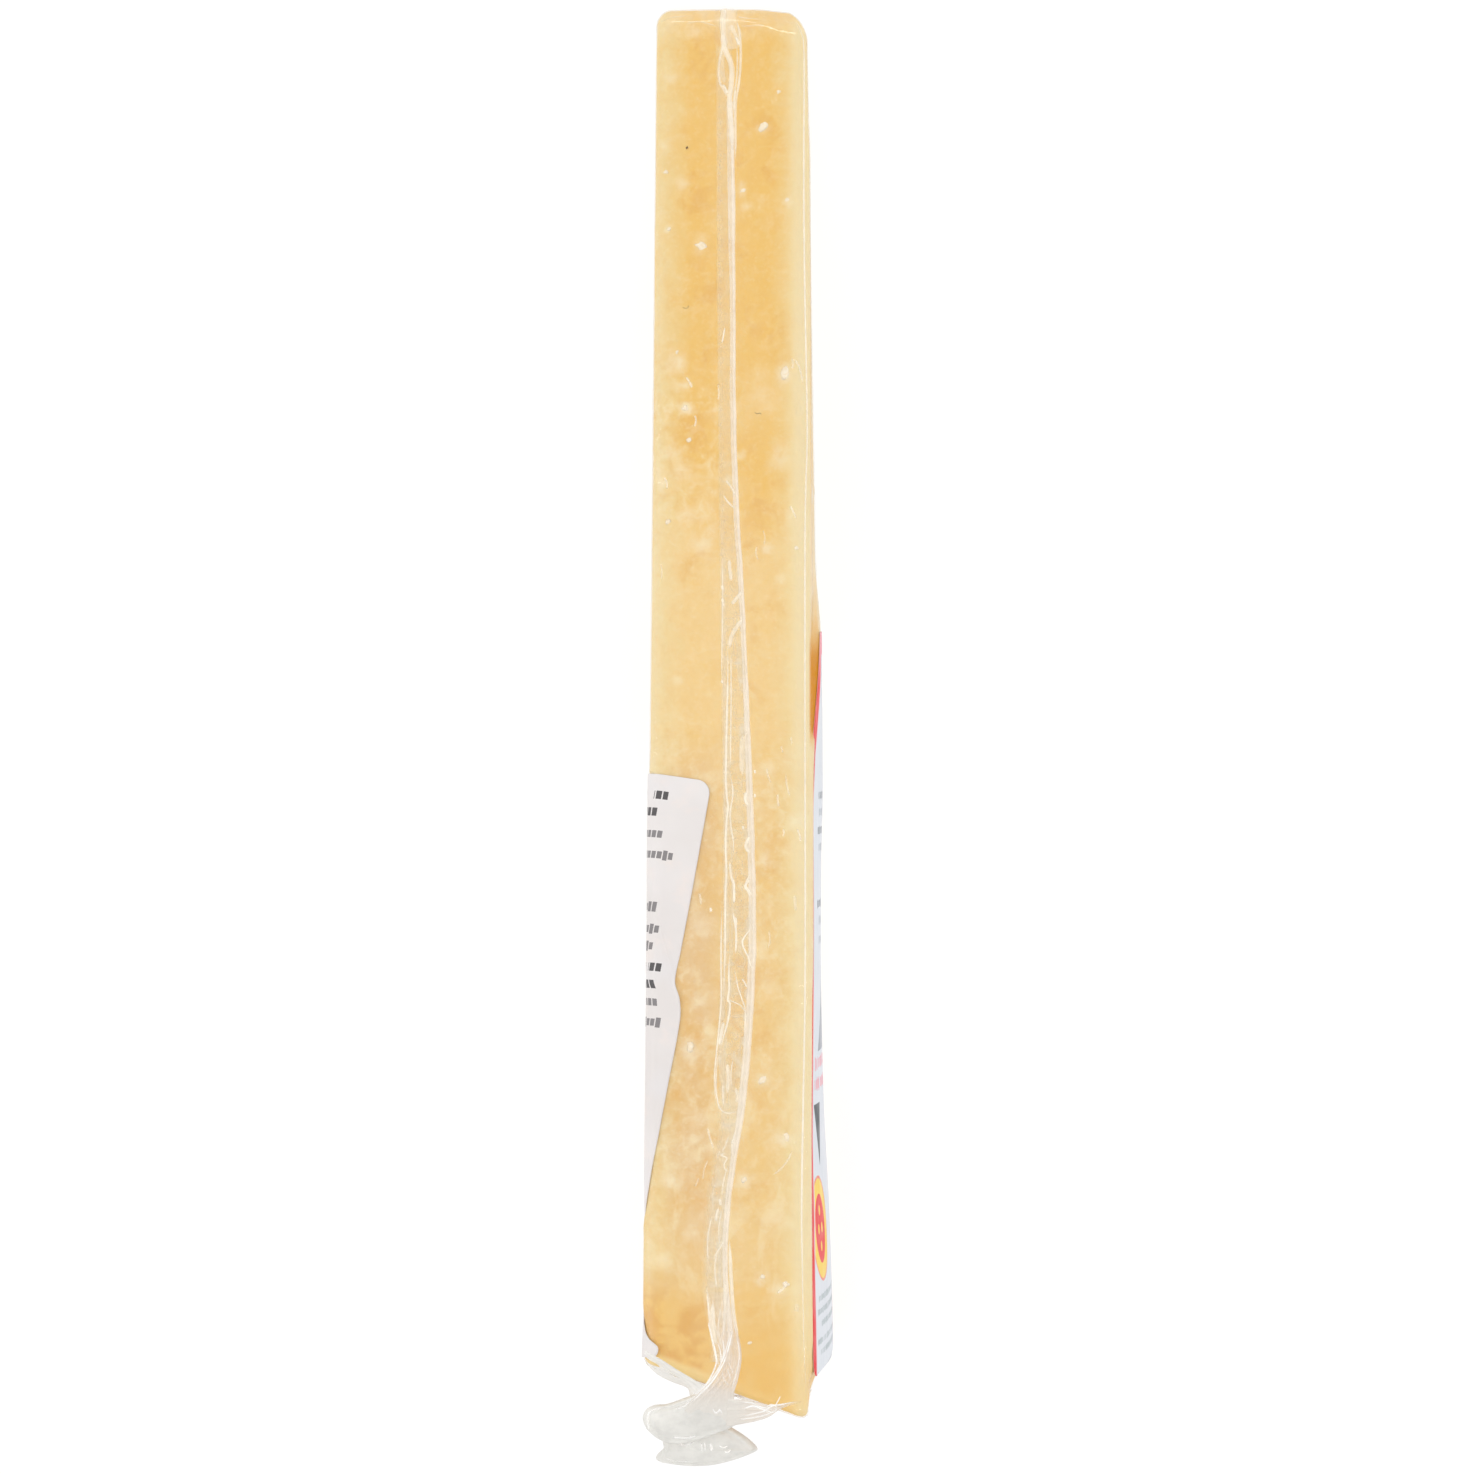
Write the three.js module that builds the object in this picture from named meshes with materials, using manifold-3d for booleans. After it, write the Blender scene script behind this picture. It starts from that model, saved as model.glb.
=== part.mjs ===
// Wedge of hard grating cheese in a clear shrink film, with two paper labels.
//
// Millimetres, +Z up. The pack rests on one of its two narrow radial cuts, so
// the other radial cut, with the film's lengthwise seal on it, faces up.
//   X  through the slab's thickness (+X carries the front label)
//   Y  along the wedge, +Y towards the blunt tip, -Y towards the rind
//   Z  up; the origin is the centre of the pack's box at the resting face
//
// Shapes are worked out in the wedge's own coordinates (x, q, w): q runs from
// the wheel's centre line outwards along the wedge's middle, w across the
// wedge from one radial cut to the other, x through the slab.
import * as THREE from 'three';
import Module from 'manifold-3d';

// ---------- driving dimensions ----------
const WEDGE_ANGLE = 16.8;        // degrees between the two radial cuts
const WHEEL_RADIUS = 213.8;      // wheel centre line to the rind, at mid slab
const RIND_RUNOUT = 0.355;       // rind slope: radius gained per mm towards +X, near the shown cut
const TIP_DEPTH = 5.0;           // across the blunt tip, between the radial cuts
const SLAB_TIP = 21.4;           // slab thickness at the tip
const SLAB_RIND = 22.8;          // slab thickness at the rind
const EDGE_R = 1.9;              // rounding of the four long edges under the film
const TIP_R_BACK = 2.4;          // rounding of the tip on the -X side
const TIP_R_FRONT = 4.8;         // rounding of the tip on the +X side
const RIND_R = 1.1;              // rounding where the cuts meet the rind
const RIND_R_LOW = 3.4;          // the same at the low corner of the +X side

const SEAL_REST = 0.28;          // height of the folded seal strip at its root
const SEAL_EDGE = 0.85;          // height of its free, welded edge
const SEAL_SINK = 0.4;           // how far the strip's solid reaches into the body

const LABEL_T = 0.3;             // label thickness
const LABEL_GAP = 0.3;           // clearance between label and film
const BACK_TOP = 126.0;          // back label: q of its upper side
const BACK_FOOT = 207.0;         // back label: q of its lower side
const BACK_NEAR = 27.6;          // back label: side that wraps over the upper edge
const BACK_FAR = -13.0;          // back label: its lower long side
const BACK_CORNER = 1.9;         // back label: corner radius
const BACK_PULL = 5.0;           // how far the film has dragged its foot corner round the edge

const SHIFT_X = -0.0056;         // moves the box's middle onto the origin
const SHIFT_Y = 117.357;

// ---------- derived ----------
const HALF = THREE.MathUtils.degToRad(WEDGE_ANGLE / 2);
const TAN = Math.tan(HALF), COS = Math.cos(HALF), SIN = Math.sin(HALF);
const Q_TIP = TIP_DEPTH / 2 / TAN;
const lerp = (a, b, t) => a + (b - a) * t;
const clamp = (v, lo, hi) => Math.min(hi, Math.max(lo, v));
const smooth = (lo, hi, v) => { const t = clamp((v - lo) / (hi - lo), 0, 1); return t * t * (3 - 2 * t); };
const halfSlab = (q) => lerp(SLAB_TIP, SLAB_RIND, clamp((q - Q_TIP) / (WHEEL_RADIUS - Q_TIP), 0, 1)) / 2;
const halfDepth = (q) => q * TAN;
// the flare towards +X dies away below the shown cut
const rindRadius = (x, w) => WHEEL_RADIUS + RIND_RUNOUT * (x > 0 ? x * smooth(20, 31.5, w) : x);
const rindQ = (x, w) => Math.sqrt(rindRadius(x, w) ** 2 - w * w);

// wedge coordinates to the part's frame
const place = (x, q, w) => [x + SHIFT_X, -q * COS + w * SIN + SHIFT_Y, q * SIN + w * COS];

// a smooth curve through stations [q, value]
function through(stations) {
  const n = stations.length;
  return (q) => {
    let i = 0;
    while (i < n - 2 && q > stations[i + 1][0]) i++;
    const [q1, v1] = stations[i], [q2, v2] = stations[i + 1];
    const [q0, v0] = stations[Math.max(0, i - 1)], [q3, v3] = stations[Math.min(n - 1, i + 2)];
    const m1 = (v2 - v0) / Math.max(1e-6, q2 - q0), m2 = (v3 - v1) / Math.max(1e-6, q3 - q1);
    const d = q2 - q1, t = clamp((q - q1) / d, 0, 1), t2 = t * t, t3 = t2 * t;
    return v1 * (2 * t3 - 3 * t2 + 1) + m1 * d * (t3 - 2 * t2 + t)
         + v2 * (-2 * t3 + 3 * t2) + m2 * d * (t3 - t2);
  };
}

// ---------- the cheese body ----------
// Depth below the surface (negative inside): slab faces, radial cuts, blunt
// tip and the sloping, wheel-curved rind, with rounded edges between them.
const roundJoin = (a, b, r) => {
  const u = Math.max(0, a + r), v = Math.max(0, b + r);
  return u > 0 && v > 0 ? Math.hypot(u, v) - r : Math.max(a, b);
};
function depthAt(x, q, w) {
  const slab = Math.abs(x) - halfSlab(q);
  const cut = Math.abs(w) * COS - q * SIN;
  let d = roundJoin(slab, cut, EDGE_R);
  d = roundJoin(d, Q_TIP - q, lerp(TIP_R_BACK, TIP_R_FRONT, smooth(1, 9, x)));
  const rindSlope = 1 / Math.hypot(1, RIND_RUNOUT);
  const rind = (Math.hypot(q, w) - rindRadius(x, w)) * rindSlope;
  const r = lerp(RIND_R, RIND_R_LOW, smooth(0, 8, x) * smooth(24, -6, w));
  return roundJoin(d, rind, r);
}
// the point where a ray from inside leaves the body
function leave(from, to) {
  const dir = [to[0] - from[0], to[1] - from[1], to[2] - from[2]];
  const at = (t) => [from[0] + dir[0] * t, from[1] + dir[1] * t, from[2] + dir[2] * t];
  let lo = 0, hi = 1.35;
  for (let k = 0; k < 44; k++) {
    const mid = (lo + hi) / 2;
    if (depthAt(...at(mid)) < 0) lo = mid; else hi = mid;
  }
  return at((lo + hi) / 2);
}
// height of the shown radial cut's surface over a point (x, q)
function cutSurface(x, q) {
  let lo = 0, hi = halfDepth(q) + 4;
  if (depthAt(x, q, 0) > 0) return 0;
  for (let k = 0; k < 40; k++) {
    const mid = (lo + hi) / 2;
    if (depthAt(x, q, mid) < 0) lo = mid; else hi = mid;
  }
  return lo;
}

// a section's outline as points (u, v) in -1..1, closer together at the corners
function outline(a, h) {
  const step = [0, 0.3, 0.65, 1.0].map((k) => k * EDGE_R);
  const side = (half, flats) => {
    const out = step.map((s) => -half + s);
    const inner = half - step[3];
    for (let i = 1; i < flats; i++) out.push(lerp(-inner, inner, i / flats));
    for (const s of [...step].reverse()) out.push(half - s);
    return out;
  };
  const xs = side(a, 5), ws = side(h, 6), loop = [];
  for (let i = 0; i < xs.length - 1; i++) loop.push([xs[i], -h]);
  for (let i = 0; i < ws.length - 1; i++) loop.push([a, ws[i]]);
  for (let i = 0; i < xs.length - 1; i++) loop.push([-xs[i], h]);
  for (let i = 0; i < ws.length - 1; i++) loop.push([-a, -ws[i]]);
  return loop.map(([x, w]) => [x / a, w / h]);
}

// loops of points, joined in turn and closed by a fan at each end
class Skin {
  constructor() { this.points = []; this.tris = []; }
  add(p) { this.points.push(p); return this.points.length - 1; }
  loops(rings, first, last) {
    const ids = rings.map((ring) => ring.map((p) => this.add(p)));
    const n = ids[0].length;
    for (let k = 0; k + 1 < ids.length; k++) for (let i = 0; i < n; i++) {
      const a = ids[k][i], b = ids[k][(i + 1) % n], c = ids[k + 1][(i + 1) % n], d = ids[k + 1][i];
      this.tris.push([a, b, c], [a, c, d]);
    }
    const s = this.add(first), e = this.add(last), z = ids.length - 1;
    for (let i = 0; i < n; i++) {
      this.tris.push([s, ids[0][(i + 1) % n], ids[0][i]]);
      this.tris.push([e, ids[z][i], ids[z][(i + 1) % n]]);
    }
    return this;
  }
  volume() {
    let v = 0;
    for (const [a, b, c] of this.tris) {
      const [p, q, r] = [this.points[a], this.points[b], this.points[c]];
      v += p[0] * (q[1] * r[2] - q[2] * r[1]) - p[1] * (q[0] * r[2] - q[2] * r[0]) + p[2] * (q[0] * r[1] - q[1] * r[0]);
    }
    return v / 6;
  }
  // indexed arrays in the part's frame, faces outwards
  arrays() {
    const moved = new Skin();
    moved.points = this.points.map((p) => place(...p));
    moved.tris = this.tris;
    const flip = moved.volume() < 0;
    return {
      verts: new Float32Array(moved.points.flat()),
      tris: new Uint32Array(moved.tris.flatMap(([a, b, c]) => (flip ? [a, c, b] : [a, b, c]))),
    };
  }
}

function bodySkin() {
  const rings = [];
  const nearTip = Q_TIP + 6.5, nearRind = WHEEL_RADIUS - 19;
  const tipCore = [0, nearTip, 0], rindCore = [0, nearRind, 0];
  const ringTip = (q, inset) => {
    const a = halfSlab(q), h = halfDepth(q);
    rings.push(outline(a, h).map(([u, v]) => leave(tipCore, [u * (a - inset), q, v * (h - inset)])));
  };
  for (const j of [1.9, 1.35, 0.85, 0.4, 0.12]) ringTip(Q_TIP, j);
  for (const s of [0.0, 0.45, 0.95, 1.5, 2.1, 3.0, 4.4]) ringTip(Q_TIP + s, 0);
  for (let k = 0; k <= 9; k++) {
    const q = lerp(nearTip, nearRind, k / 9), a = halfSlab(q), h = halfDepth(q);
    rings.push(outline(a, h).map(([u, v]) => leave([0, q, 0], [u * a, q, v * h])));
  }
  const ringRind = (t, inset) => {
    const a = halfSlab(WHEEL_RADIUS), h = halfDepth(WHEEL_RADIUS);
    rings.push(outline(a, h).map(([u, v]) => {
      const x = u * (a - inset);
      let q = lerp(nearRind, rindRadius(x, v * h) * COS, t);
      let w = v * halfDepth(q) * (h - inset) / h;
      if (inset > 0) q = rindQ(x, w);
      return leave(rindCore, [x, q, w]);
    }));
  };
  for (const t of [0.45, 0.75, 0.88, 0.94, 0.975, 1.0]) ringRind(t, 0);
  for (const j of [0.25, 0.6, 1.1, 1.9, 3.4, 6.0, 9.4]) ringRind(1, j);
  return new Skin().loops(rings, leave(tipCore, [0, Q_TIP, 0]), leave(rindCore, [0, WHEEL_RADIUS, 0]));
}

// ---------- the film's lengthwise seal, folded flat on the shown cut ----------
const sealEdge = through([[17.2, -0.3], [22, 0.5], [30, 0.3], [59, 0.7], [81, 1.1], [105, 2.45], [135, 3.85],
  [152, 4.1], [170, 2.95], [186, 0.7], [196, 0.4], [204, 1.1], [211, 0.6]]);
const sealRoot = through([[17.2, -2.2], [26, -1.9], [60, -1.6], [101, -1.0], [130, -0.5], [150, -0.5], [165, -1.2],
  [174, -1.0], [186, -2.6], [198, -3.0], [205, -1.9], [211, -2.4]]);
function sealSkin() {
  const rings = [];
  const stations = 40, q0 = Q_TIP + 0.35, q1 = 206.4;
  for (let k = 0; k <= stations; k++) {
    const q = lerp(q0, q1, k / stations);
    const root = sealRoot(q), edge = sealEdge(q), wide = edge - root;
    const taper = smooth(0, 2.5, q - q0 + 0.8);
    const profile = [[root, -SEAL_SINK], [root, SEAL_REST * 0.4], [root + 0.35, SEAL_REST], [root + wide * 0.55, SEAL_REST * 1.25],
      [edge - 0.6, SEAL_EDGE * 0.8], [edge - 0.15, SEAL_EDGE], [edge + 0.12, SEAL_EDGE * 0.6], [edge, -SEAL_SINK]];
    rings.push(profile.map(([x, n]) => {
      const rise = n > 0 ? n * taper : n;
      return [x, q - rise * SIN, cutSurface(x, q) + rise * COS];
    }));
  }
  const mid = (ring) => ring.reduce((s, p) => s.map((v, i) => v + p[i] / ring.length), [0, 0, 0]);
  return new Skin().loops(rings, mid(rings[0]), mid(rings[rings.length - 1]));
}

// ---------- the gathered end of the film at the rind ----------
// The seal strip leaves the cut over its edge, narrows into a neck and opens
// into two crumpled lobes that curl back over one another.
function sweptSkin(stations, sides) {
  // station: centre (x, q, w), half width along x, half thickness, roll
  const rings = stations.map(([x, q, w, half, thick, roll], k) => {
    const [, qa, wa] = stations[Math.max(0, k - 1)], [, qb, wb] = stations[Math.min(stations.length - 1, k + 1)];
    const len = Math.hypot(qb - qa, wb - wa) || 1, tq = (qb - qa) / len, tw = (wb - wa) / len;
    const ring = [];
    for (let i = 0; i < sides; i++) {
      const phi = 2 * Math.PI * i / sides;
      const c = Math.cos(phi) * half, s = Math.sin(phi) * thick * (1 + 0.16 * Math.cos(3 * phi + k));
      const u = c * Math.cos(roll) - s * Math.sin(roll), v = c * Math.sin(roll) + s * Math.cos(roll);
      ring.push([x + u, q - tw * v, w + tq * v]);
    }
    return ring;
  });
  const first = stations[0], last = stations[stations.length - 1];
  return new Skin().loops(rings, [first[0], first[1], first[2]], [last[0], last[1], last[2]]);
}
const neckSkin = () => sweptSkin([
  [-0.9, 201.5, 29.2, 0.9, 0.5, 0], [-0.6, 204.6, 30.6, 1.7, 0.8, 0], [-0.9, 207.4, 31.2, 2.2, 1.0, 0.05],
  [-1.8, 209.8, 30.0, 2.6, 1.3, 0.1], [-3.0, 212.0, 27.6, 3.2, 1.7, 0.1], [-4.2, 214.4, 25.6, 3.9, 2.0, 0.1],
  [-4.6, 216.6, 24.4, 3.6, 1.8, 0.1]], 12);
// a crumpled pillow whose outline runs at a given reach round its centre
function lobeSkin(centre, reaches, thick, lean) {
  const count = 30, shells = 5, n = reaches.length;
  const reach = (phi) => {
    const t = phi / (2 * Math.PI) * n, i = Math.floor(t) % n, f = t - Math.floor(t);
    const p = [-1, 0, 1, 2].map((k) => reaches[(i + k + n) % n]);
    return 0.5 * (2 * p[1] + (p[2] - p[0]) * f + (2 * p[0] - 5 * p[1] + 4 * p[2] - p[3]) * f * f
      + (3 * p[1] - p[0] - 3 * p[2] + p[3]) * f * f * f);
  };
  const point = (phi, k, side) => {
    const r = reach(phi) * k;
    const rise = thick * Math.sqrt(Math.max(0, 1 - k ** 2.6)) * (1 + 0.22 * Math.cos(5 * phi + side) * k);
    const x = centre[0] + Math.cos(phi) * r, q = centre[1] + Math.sin(phi) * r;
    return [x, q, centre[2] + side * rise - lean * (q - centre[1])];
  };
  const rings = [];
  const steps = [0.3, 0.6, 0.82, 0.95];
  const ring = (k, side) => rings.push(Array.from({ length: count }, (_, i) => point(2 * Math.PI * i / count, k, side)));
  for (const k of steps) ring(k, 1);
  ring(1, 0);
  for (const k of [...steps].reverse()) ring(k, -1);
  return new Skin().loops(rings, point(0, 0, 1), point(0, 0, -1));
}
// reaches start at +X and turn towards the free end (+q)
const upperLobe = () => lobeSkin([-6.6, 216.6, 24.6], [4.6, 3.4, 3.2, 3.3, 4.2, 4.9, 4.6, 3.3, 2.7, 3.1], 1.9, 0.15);
const lowerLobe = () => lobeSkin([-2.0, 219.6, 22.2], [6.6, 3.9, 3.1, 3.5, 6.3, 6.6, 4.3, 3.3, 2.6, 3.3], 1.7, 0.1);

// ---------- the labels ----------
// Polygon with rounded corners: [along, across, radius]
function roundedShape(corners) {
  const shape = new THREE.Shape(), n = corners.length;
  const v = corners.map(([a, b]) => new THREE.Vector2(a, b));
  corners.forEach(([, , r], i) => {
    const p = v[i], to = (k) => v[(k + n) % n].clone().sub(p).normalize();
    const a = to(i - 1), b = to(i + 1);
    const cut = r / Math.tan(Math.acos(clamp(a.dot(b), -1, 1)) / 2);
    const s = p.clone().addScaledVector(a, cut), e = p.clone().addScaledVector(b, cut);
    if (i === 0) shape.moveTo(s.x, s.y); else shape.lineTo(s.x, s.y);
    shape.quadraticCurveTo(p.x, p.y, e.x, e.y);
  });
  shape.closePath();
  return shape;
}
// front label: a tapering label that fans out with the wedge, on the +X face
function frontLabel() {
  const near = (q) => halfDepth(q) - 3.2, far = (q) => -halfDepth(q) + 2.8;
  const shape = roundedShape([
    [105.6, far(105.6) + 0.6, 1.6], [105.9, -1.5, 2.2], [121.0, near(121) + 0.3, 6.0], [150, near(150) - 0.6, 60],
    [210.2, near(210.2) - 1.0, 3.0], [209.6, far(209.6) + 0.4, 3.5]]);
  const slab = new THREE.ExtrudeGeometry(shape, { depth: LABEL_T, bevelEnabled: false, curveSegments: 7 });
  const pos = slab.attributes.position;
  for (let i = 0; i < pos.count; i++) {
    const q = pos.getX(i), w = pos.getY(i), t = pos.getZ(i);
    const p = place(halfSlab(q) + LABEL_GAP + t, q, w);
    pos.setXYZ(i, p[0], p[1], p[2]);
  }
  // (q, w, x) is a left-handed order, so each triangle is turned over
  for (let i = 0; i < pos.count; i += 3) {
    const a = [1, 2].map((k) => [pos.getX(i + k), pos.getY(i + k), pos.getZ(i + k)]);
    pos.setXYZ(i + 1, ...a[1]);
    pos.setXYZ(i + 2, ...a[0]);
  }
  return slab;
}
// back label: a rectangle on the -X face set along the wedge's middle line, so
// it runs off the face's upper edge at a slant and folds over onto the shown cut
function backLabelSkin() {
  const r = EDGE_R, ends = [0, 0.12, 0.36, 0.66, 1].map((k) => k * BACK_CORNER);
  const lines = [...ends.map((d) => BACK_TOP + d)];
  for (let k = 1; k <= 16; k++) lines.push(lerp(BACK_TOP + BACK_CORNER, 193, k / 16));
  for (let k = 1; k < 11; k++) lines.push(lerp(193, BACK_FOOT - BACK_CORNER, k / 11));
  lines.push(...[...ends].reverse().map((d) => BACK_FOOT - d));
  const rows = lines.length - 1, onFace = 5, cols = onFace + 13;
  const near = (q) => BACK_NEAR + BACK_PULL * smooth(196, 205.5, q);
  const side = (q, from, to) => {            // how much the corner rounding takes off the width
    const d = Math.min(q - from, to - q);
    return d >= BACK_CORNER ? 0 : BACK_CORNER - Math.sqrt(Math.max(0, BACK_CORNER ** 2 - (BACK_CORNER - Math.max(0, d)) ** 2));
  };
  const fold = (q, across, off) => {
    const along = q * COS + across * SIN, over = across * COS - q * SIN;
    const a = halfSlab(q);
    let x, n;
    if (over < -r) { x = -a - off; n = over; }
    else if (over < -r + Math.PI * r / 2) {
      const t = (over + r) / r;
      x = -a + r - (r + off) * Math.cos(t); n = -r + (r + off) * Math.sin(t);
    } else { x = -a + r + (over + r - Math.PI * r / 2); n = off; }
    return [x, along * COS - n * SIN, along * SIN + n * COS];
  };
  const grid = (off) => {
    const g = [];
    for (const q of lines) {
      const cut = side(q, BACK_TOP, BACK_FOOT) * 0.98;
      const lo = BACK_FAR + cut, hi = near(q) - cut, row = [];
      const split = Math.min(halfDepth(q) - 2.6, BACK_NEAR - 3.5);   // columns gather round the fold
      for (let i = 0; i <= cols; i++) {
        row.push(fold(q, i < onFace ? lerp(lo, split, i / onFace) : lerp(split, hi, (i - onFace) / (cols - onFace)), off));
      }
      g.push(row);
    }
    return g;
  };
  const skin = new Skin();
  const inner = grid(LABEL_GAP).map((row) => row.map((p) => skin.add(p)));
  const outer = grid(LABEL_GAP + LABEL_T).map((row) => row.map((p) => skin.add(p)));
  const quad = (a, b, c, d) => skin.tris.push([a, b, c], [a, c, d]);
  for (let k = 0; k < rows; k++) for (let i = 0; i < cols; i++) {
    quad(outer[k][i], outer[k][i + 1], outer[k + 1][i + 1], outer[k + 1][i]);
    quad(inner[k][i], inner[k + 1][i], inner[k + 1][i + 1], inner[k][i + 1]);
  }
  for (let k = 0; k < rows; k++) {
    quad(outer[k][0], outer[k + 1][0], inner[k + 1][0], inner[k][0]);
    quad(outer[k][cols], inner[k][cols], inner[k + 1][cols], outer[k + 1][cols]);
  }
  for (let i = 0; i < cols; i++) {
    quad(outer[0][i], inner[0][i], inner[0][i + 1], outer[0][i + 1]);
    quad(outer[rows][i], outer[rows][i + 1], inner[rows][i + 1], inner[rows][i]);
  }
  return skin;
}

// ---------- assembly ----------
const wasm = await Module();
wasm.setup();
function solid(skin) {
  const { verts, tris } = skin.arrays();
  return new wasm.Manifold(new wasm.Mesh({ numProp: 3, vertProperties: verts, triVerts: tris }));
}
function geometryOf(manifold) {
  const mesh = manifold.getMesh();
  const count = mesh.vertProperties.length / mesh.numProp;
  const xyz = new Float32Array(count * 3);
  for (let i = 0; i < count; i++) for (let k = 0; k < 3; k++) xyz[3 * i + k] = mesh.vertProperties[i * mesh.numProp + k];
  const g = new THREE.BufferGeometry();
  g.setAttribute('position', new THREE.BufferAttribute(xyz, 3));
  g.setIndex(new THREE.BufferAttribute(new Uint32Array(mesh.triVerts), 1));
  return g;
}
function geometryOfSkin(skin) {
  const { verts, tris } = skin.arrays();
  const g = new THREE.BufferGeometry();
  g.setAttribute('position', new THREE.BufferAttribute(verts, 3));
  g.setIndex(new THREE.BufferAttribute(tris, 1));
  return g;
}

const pack = solid(bodySkin()).add(solid(sealSkin())).add(solid(neckSkin()))
  .add(solid(upperLobe())).add(solid(lowerLobe()));

const object = new THREE.Group();
object.name = 'cheese_wedge_pack';
const addPiece = (name, geometry, color, roughness) => {
  geometry.computeVertexNormals();
  const mesh = new THREE.Mesh(geometry, new THREE.MeshStandardMaterial({ color, roughness, metalness: 0 }));
  mesh.name = name;
  object.add(mesh);
};
addPiece('wrapped_wedge', geometryOf(pack), 0xf1cf8e, 0.35);
addPiece('front_label', frontLabel(), 0xf2f3f6, 0.45);
addPiece('back_label', geometryOfSkin(backLabelSkin()), 0xefebe9, 0.5);

export default object;
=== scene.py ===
"""Looks of the film-wrapped cheese wedge: cheese, rind, crystals, shrink film, seal strip, gathered film end, labels."""
import math

import bmesh
import bpy
import numpy as np
from mathutils import Matrix, Vector


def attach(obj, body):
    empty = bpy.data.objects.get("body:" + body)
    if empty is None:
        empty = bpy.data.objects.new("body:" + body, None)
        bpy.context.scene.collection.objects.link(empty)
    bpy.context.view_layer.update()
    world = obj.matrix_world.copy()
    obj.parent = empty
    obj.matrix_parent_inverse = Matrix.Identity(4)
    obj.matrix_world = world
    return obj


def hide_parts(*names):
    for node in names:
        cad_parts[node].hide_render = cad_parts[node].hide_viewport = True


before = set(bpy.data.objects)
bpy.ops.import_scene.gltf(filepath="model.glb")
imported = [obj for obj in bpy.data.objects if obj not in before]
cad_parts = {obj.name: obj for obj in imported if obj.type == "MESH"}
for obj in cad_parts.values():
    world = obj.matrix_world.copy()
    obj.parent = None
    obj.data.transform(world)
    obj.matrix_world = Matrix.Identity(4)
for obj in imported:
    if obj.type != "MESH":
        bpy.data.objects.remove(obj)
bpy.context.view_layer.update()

# ------------------------------------------------------------------ sizes, in mm, as in the solid model
ALPHA = math.radians(16.8 / 2)
TAN, COS, SIN = math.tan(ALPHA), math.cos(ALPHA), math.sin(ALPHA)
WHEEL_R, RUNOUT = 213.8, 0.355
TIP_DEPTH, SLAB_TIP, SLAB_RIND = 5.0, 21.4, 22.8
EDGE_R, TIP_R_BACK, TIP_R_FRONT, RIND_R, RIND_R_LOW = 1.9, 2.4, 4.8, 1.1, 3.4
Q_TIP = TIP_DEPTH / 2 / TAN
SHIFT_X, SHIFT_Y = -0.0056, 117.357
MM = 0.001


def lerp(a, b, t):
    return a + (b - a) * t


def smooth(lo, hi, v):
    t = np.clip((v - lo) / (hi - lo), 0.0, 1.0)
    return t * t * (3 - 2 * t)


def half_slab(q):
    return lerp(SLAB_TIP, SLAB_RIND, np.clip((q - Q_TIP) / (WHEEL_R - Q_TIP), 0, 1)) / 2


def rind_radius(x, w):
    return WHEEL_R + RUNOUT * np.where(np.asarray(x) > 0, x * smooth(20, 31.5, w), x)


def place(c):
    """Wedge coordinates (x, q, w) in mm to the row frame in metres."""
    x, q, w = c[..., 0], c[..., 1], c[..., 2]
    return np.stack([x + SHIFT_X, -q * COS + w * SIN + SHIFT_Y, q * SIN + w * COS], -1) * MM


def unplace(p):
    x, y, z = p[..., 0] / MM - SHIFT_X, p[..., 1] / MM - SHIFT_Y, p[..., 2] / MM
    return np.stack([x, -y * COS + z * SIN, y * SIN + z * COS], -1)


def direction(d):
    return Vector((d[0], -d[1] * COS + d[2] * SIN, d[1] * SIN + d[2] * COS))


def round_join(a, b, r):
    u, v = np.maximum(0, a + r), np.maximum(0, b + r)
    return np.where((u > 0) & (v > 0), np.hypot(u, v) - r, np.maximum(a, b))


def depth_at(c):
    """Distance to the tight pack's surface, negative inside, as in the solid model."""
    x, q, w = c[..., 0], c[..., 1], c[..., 2]
    d = round_join(np.abs(x) - half_slab(q), np.abs(w) * COS - q * SIN, EDGE_R)
    d = round_join(d, Q_TIP - q, lerp(TIP_R_BACK, TIP_R_FRONT, smooth(1, 9, x)))
    rind = (np.hypot(q, w) - rind_radius(x, w)) / math.hypot(1, RUNOUT)
    return round_join(d, rind, lerp(RIND_R, RIND_R_LOW, smooth(0, 8, x) * (1 - smooth(-6, 24, w))))


def normal_at(c, e=0.02):
    g = []
    for k in range(3):
        s = np.zeros(3)
        s[k] = e
        g.append(depth_at(c + s) - depth_at(c - s))
    g = np.stack(g, -1)
    return g / np.maximum(np.linalg.norm(g, axis=-1, keepdims=True), 1e-9)


def cast(origin, target, off):
    """Where rays from inside leave the surface pushed out by off."""
    lo, hi = np.zeros(target.shape[:-1]), np.full(target.shape[:-1], 1.6)
    d = target - origin
    for _ in range(34):
        mid = (lo + hi) / 2
        inside = depth_at(origin + d * mid[..., None]) < off
        lo, hi = np.where(inside, mid, lo), np.where(inside, hi, mid)
    return origin + d * lo[..., None]


def face_w(x, q, off=0.0):
    """Height w of the shown cut, pushed out by off, over points (x, q)."""
    x, q = np.broadcast_arrays(np.asarray(x, float), np.asarray(q, float))
    lo, hi = np.zeros(x.shape), q * TAN + 4
    for _ in range(34):
        mid = (lo + hi) / 2
        inside = depth_at(np.stack([x, q, mid], -1)) < off
        lo, hi = np.where(inside, mid, lo), np.where(inside, hi, mid)
    return lo


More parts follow.
